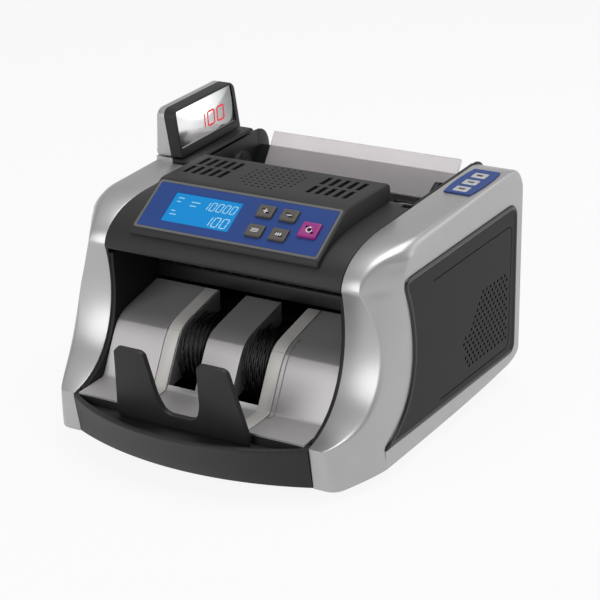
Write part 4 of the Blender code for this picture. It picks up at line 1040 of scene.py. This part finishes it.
def wheel_outline(turn):
    """One thin blade ring of an impeller: a hub with curved fingers swept back from its turning."""
    rim, count, sweep, bend, steps = 32.5, 12, 1.9, 1.6, 8
    root_half, tip_half = 1.7, 0.8
    y0, z0 = STACKER_AXIS
    outline = []
    for i in range(count):
        root = 2 * math.pi * (i + turn) / count
        edges = ([], [])
        for step in range(steps + 1):
            share = step / steps
            radius = mix(WHEEL_HUB, rim, share)
            angle = root - sweep * share ** bend
            half = mix(root_half, tip_half, share) / radius
            edges[0].append((radius, angle - half))
            edges[1].append((radius, angle + half))
        middle = root + math.pi / count
        for radius, angle in edges[0] + edges[1][::-1] + [(WHEEL_HUB, middle)]:
            outline.append((y0 + radius * math.cos(angle), z0 + radius * math.sin(angle)))
    return outline


def add_wheels():
    near, far, blades, thickness, stagger = 19.0, 34.5, 7, 0.9, 0.37
    barrel, bore = WHEEL_HUB + 1.0, 4.3
    for name, side in SIDES:
        rings = []
        for i in range(blades):
            edge = mix(near, far - thickness, i / (blades - 1))
            low, high = sorted((side * edge, side * (edge + thickness)))
            rings.append(extruded("blade", wheel_outline(stagger * i), "x", low, high))
        low, high = sorted((side * (near + 0.2), side * (far - 0.2)))
        blades_only = joined(rings)
        wheel = weld(turned("hub", [(low, barrel), (high, barrel)], STACKER_AXIS, "x", 40), blades_only)
        carve(wheel, turned("bore", [(low - 2.0, bore), (high + 2.0, bore)], STACKER_AXIS, "x", 24))
        wheel.name = name + "_finned_wheel"
        dress(wheel, FIN_RUBBER, "stacker_wheels", "black_rubber", "stacker_wheel_" + name, smooth=30.0)


def add_note_stop():
    foot, drop, arm_out, arm_in, top = 55.4, -LIP_DROP, 46.0, 22.0, 54.5
    shoulder, shoulder_top, valley, valley_floor = 17.5, 14.0, 12.0, 5.0
    half = [(foot, drop, 4.0), (arm_out, top, 4.0), (arm_in, top, 4.0), (shoulder, shoulder_top, 8.0),
            (valley, valley_floor, 5.0)]
    outline = rounded(half + [(-u, v, radius) for u, v, radius in half[::-1]], 6)
    stop = extruded("note_stop_skin", outline, "y", -2.0, 2.0)
    soften(stop, 1.1, 4, 40.0)
    seat, lean = Vector((0.0, -124.5, 38.3)) * MM, math.radians(13.3)
    put(stop, Matrix.Translation(seat) @ Matrix.Rotation(lean, 4, "X"))
    dress(stop, CHARCOAL, "chassis", "charcoal_plastic", "note_stop")


# Base

def bow(half, end_y, middle_y, z, steps=40):
    points = []
    sag = end_y - middle_y
    radius = (half ** 2 + sag ** 2) / (2 * sag)
    for i in range(steps + 1):
        x = mix(half, -half, i / steps)
        points.append((x, middle_y + radius - math.sqrt(radius ** 2 - x ** 2), z))
    return points


def add_base():
    half, lip = CHEEK_OUTER, LIP_TOP
    levels = [(-113.2, -134.0, 6.0), (-113.9, -134.8, 6.3), (-114.4, -135.6, 7.4), (-116.4, -140.6, 16.6),
              (-118.4, -145.6, 25.6), (-120.2, -150.2, lip - 3.0), (-120.5, -150.9, lip - 1.8),
              (-120.3, -150.7, lip - 0.8), (-119.8, -149.9, lip - 0.2), (-119.0, -148.8, lip)]
    rows = []
    for end, middle, z in levels:
        rows.append(bow(half, end, middle, z) + [(-half, -112.0, z), (half, -112.0, z)])
    base = skinned("base_front", rows, capped=True)
    trough = []
    for middle, z in ((-145.2, lip - LIP_DROP), (-147.4, lip + 1.0)):
        edge = [point for point in bow(half, -116.6, middle, z) if point[1] < -119.0]
        trough.append(edge + [(edge[-1][0], -118.9, z), (edge[0][0], -118.9, z)])
    carve(base, skinned("trough", trough, capped=True))
    weld(base, boxed("tray", (-half, -113.5, BASE_BOTTOM), (half, 132.0, 12.0)))
    carve(base, boxed("tray_hollow", (3.0 - half, -109.0, 9.0), (half - 3.0, 129.0, 30.0)))
    dress(base, CHARCOAL, "chassis", "black_plastic", "base_housing")


def add_vent_screen():
    """Dark screen behind the rear vents, so that no light falls through the machine."""
    screen = boxed("vent_screen", (-76.0, 141.6, 44.0), (0.0, 142.6, 96.0), 0.2, 2)
    dress(screen, BLACK, "chassis", "black_plastic")


# The other frame nodes, grouped by finish, rounding, body and slot

PLAIN = (
    (CHEEK_BLACK, 0.4, "chassis", "black_frame", "left_frame_plate", "right_frame_plate"),
    (BLACK, 0.8, "chassis", "charcoal_plastic", "display_plinth"),
    (BLACK, 0.3, "chassis", "black_plastic", "hopper_bed"),
    (BLACK, 0.4, "chassis", "black_plastic", "hopper_front_plate", "power_inlet"),
    (BLACK, 0.0, "chassis", "black_plastic", "separator_holder"),
    (COMB_BLACK, 0.5, "chassis", "black_plastic", "exit_comb"),
    (TINTED, 0.0, "chassis", "tinted_plastic", "hopper_rear_guide"),
    (STEEL, 0.4, "chassis", "steel", "guide_rod"),
    (CHARCOAL, 0.6, "chassis", "charcoal_plastic", "rear_cover"),
    (RUBBER, 0.0, "chassis", "black_rubber", "separator_pad"),
    (RUBBER, 0.2, "chassis", "black_rubber", "drive_belt"),
    (RUBBER, 0.5, "chassis", "black_rubber", "foot_front_left", "foot_front_right", "foot_rear_left",
     "foot_rear_right"),
    (ZINC, 0.6, "chassis", "motor_zinc", "drive_motor"),
    (GREEN, 0.2, "chassis", "board_green", "keypad_board", "main_board"),
    (IRON, 0.6, "chassis", "core_iron", "transformer"),
    (BLACK, 0.7, "left_guide", "black_plastic", "left_note_guide"),
    (BLACK, 0.7, "right_guide", "black_plastic", "right_note_guide"),
    (BLACK, 0.3, "gap_screw", "black_plastic", "gap_adjuster"),
    (ROCKER, 0.5, "power_switch", "rocker_black", "power_rocker"),
    (RUBBER, 0.6, "pickup_rollers", "black_rubber", "pickup_roller_left", "pickup_roller_right"),
    (RUBBER, 0.6, "feed_rollers", "black_rubber", "feed_roller_left", "feed_roller_right"),
    (STEEL, 0.4, "pickup_rollers", "steel", "pickup_shaft"),
    (STEEL, 0.4, "feed_rollers", "steel", "feed_shaft"),
    (STEEL, 0.4, "stacker_wheels", "steel", "stacker_shaft"),
    (STEEL, 0.4, "motor_rotor", "steel", "motor_pulley"),
)


def add_plain_nodes():
    for finish, width, body, slot, *nodes in PLAIN:
        for node in nodes:
            dress(from_node(node, width), finish, body, slot, node)


# Camera, floor and light, in metres and watts

CAMERA_ANGLES = (31.05, 21.08, -1.0)
CAMERA_LENS = 120.43
CAMERA_SPOT = (0.72689, -1.17161, 0.61826)
LAMPS = {
    "top": ((0.25, 0.35, 1.7), (0.0, 0.0, 0.1), 1.5, 16.0),
    "front": ((-0.5, -1.85, 0.75), (0.0, 0.0, 0.1), 1.5, 14.5),
    "side": ((0.75, 0.75, 0.5), (0.05, 0.1, 0.1), 0.7, 1.2),
}
PAPER_TONE = 0.86
FLOOR_SIZE = 12.0
FLOOR_GLOW = 0.9
SKY_FILL = 0.32

# Tone of the surroundings by height above the horizon
SKY_TONES = ((0.22, 0.7), (0.4, 0.45), (0.65, 0.45), (0.88, 0.85))


def add_camera():
    azimuth, elevation, roll = (math.radians(angle) for angle in CAMERA_ANGLES)
    aside, ahead, above = math.sin(azimuth), math.cos(azimuth), math.sin(elevation)
    back = Vector((aside * math.cos(elevation), -ahead * math.cos(elevation), above))
    level = Vector((ahead, aside, 0.0))
    rise = back.cross(level)
    right = level * math.cos(roll) + rise * math.sin(roll)
    up = rise * math.cos(roll) - level * math.sin(roll)
    lens = bpy.data.cameras.new("camera")
    lens.lens = CAMERA_LENS
    lens.sensor_width = 36.0
    lens.sensor_fit = "HORIZONTAL"
    camera = bpy.data.objects.new("camera", lens)
    bpy.context.scene.collection.objects.link(camera)
    turn = Matrix((right, up, back)).transposed().to_4x4()
    camera.matrix_world = Matrix.Translation(CAMERA_SPOT) @ turn
    bpy.context.scene.camera = camera


def add_lamp(name, spot, aim, size, power):
    lamp = bpy.data.lights.new(name, "AREA")
    lamp.shape = "DISK"
    lamp.size = size
    lamp.energy = power
    holder = bpy.data.objects.new(name, lamp)
    bpy.context.scene.collection.objects.link(holder)
    holder.location = spot
    holder.rotation_euler = (Vector(aim) - Vector(spot)).to_track_quat("-Z", "Y").to_euler()


def seen_level(tree, seen, rest):
    """One level for rays that see the background, mirrored or not, and one for the rest."""
    path = tree.nodes.new("ShaderNodeLightPath")
    level = add_node(tree, "ShaderNodeMapRange", **{"To Min": rest, "To Max": seen})
    rays = path.outputs["Is Camera Ray"]
    for kind in ("Is Glossy Ray", "Is Transmission Ray"):
        either = tree.nodes.new("ShaderNodeMath")
        either.operation = "MAXIMUM"
        tree.links.new(rays, either.inputs[0])
        tree.links.new(path.outputs[kind], either.inputs[1])
        rays = either.outputs["Value"]
    tree.links.new(rays, level.inputs["Value"])
    return level.outputs["Result"]


def add_world():
    world = bpy.data.worlds.new("studio")
    bpy.context.scene.world = world
    world.use_nodes = True
    tree = world.node_tree
    shade = tree.nodes["Background"]
    place = tree.nodes.new("ShaderNodeTexCoord")
    split = tree.nodes.new("ShaderNodeSeparateXYZ")
    sky = tree.nodes.new("ShaderNodeValToRGB")
    stops = sky.color_ramp.elements
    stops[0].color = (0.96, 0.96, 0.96, 1.0)
    stops[1].color = (1.0, 1.0, 1.0, 1.0)
    for height, tone in SKY_TONES:
        stops.new(height).color = (tone, tone, tone, 1.0)
    tree.links.new(place.outputs["Generated"], split.inputs["Vector"])
    tree.links.new(split.outputs["Z"], sky.inputs["Fac"])
    tree.links.new(sky.outputs["Color"], shade.inputs["Color"])
    tree.links.new(seen_level(tree, 1.0, SKY_FILL), shade.inputs["Strength"])


def add_floor():
    bpy.ops.mesh.primitive_plane_add(size=FLOOR_SIZE)
    floor = bpy.context.object
    floor.name = "floor"
    paper = bpy.data.materials.new("paper")
    paper.use_nodes = True
    tree = paper.node_tree
    shader = tree.nodes["Principled BSDF"]
    shader.inputs["Base Color"].default_value = (PAPER_TONE, PAPER_TONE, PAPER_TONE, 1.0)
    shader.inputs["Roughness"].default_value = 0.9
    glow = tree.nodes.new("ShaderNodeEmission")
    blend = tree.nodes.new("ShaderNodeMixShader")
    link = tree.links.new
    link(seen_level(tree, FLOOR_GLOW, 0.0), blend.inputs["Fac"])
    link(shader.outputs["BSDF"], blend.inputs[1])
    link(glow.outputs["Emission"], blend.inputs[2])
    link(blend.outputs["Shader"], tree.nodes["Material Output"].inputs["Surface"])
    floor.data.materials.append(paper)


def add_studio():
    add_world()
    add_floor()
    for name, lamp in LAMPS.items():
        add_lamp(name, *lamp)
    bpy.context.scene.view_settings.view_transform = "Standard"


def main():
    add_camera()
    add_studio()
    add_panels()
    for name, side in SIDES:
        add_cover(name, side)
    add_front_cover()
    add_console()
    add_overlay()
    add_lcd()
    add_keys()
    add_function_keys()
    add_pod()
    add_stacker_plate()
    add_wheels()
    add_note_stop()
    add_base()
    add_vent_screen()
    add_plain_nodes()


main()
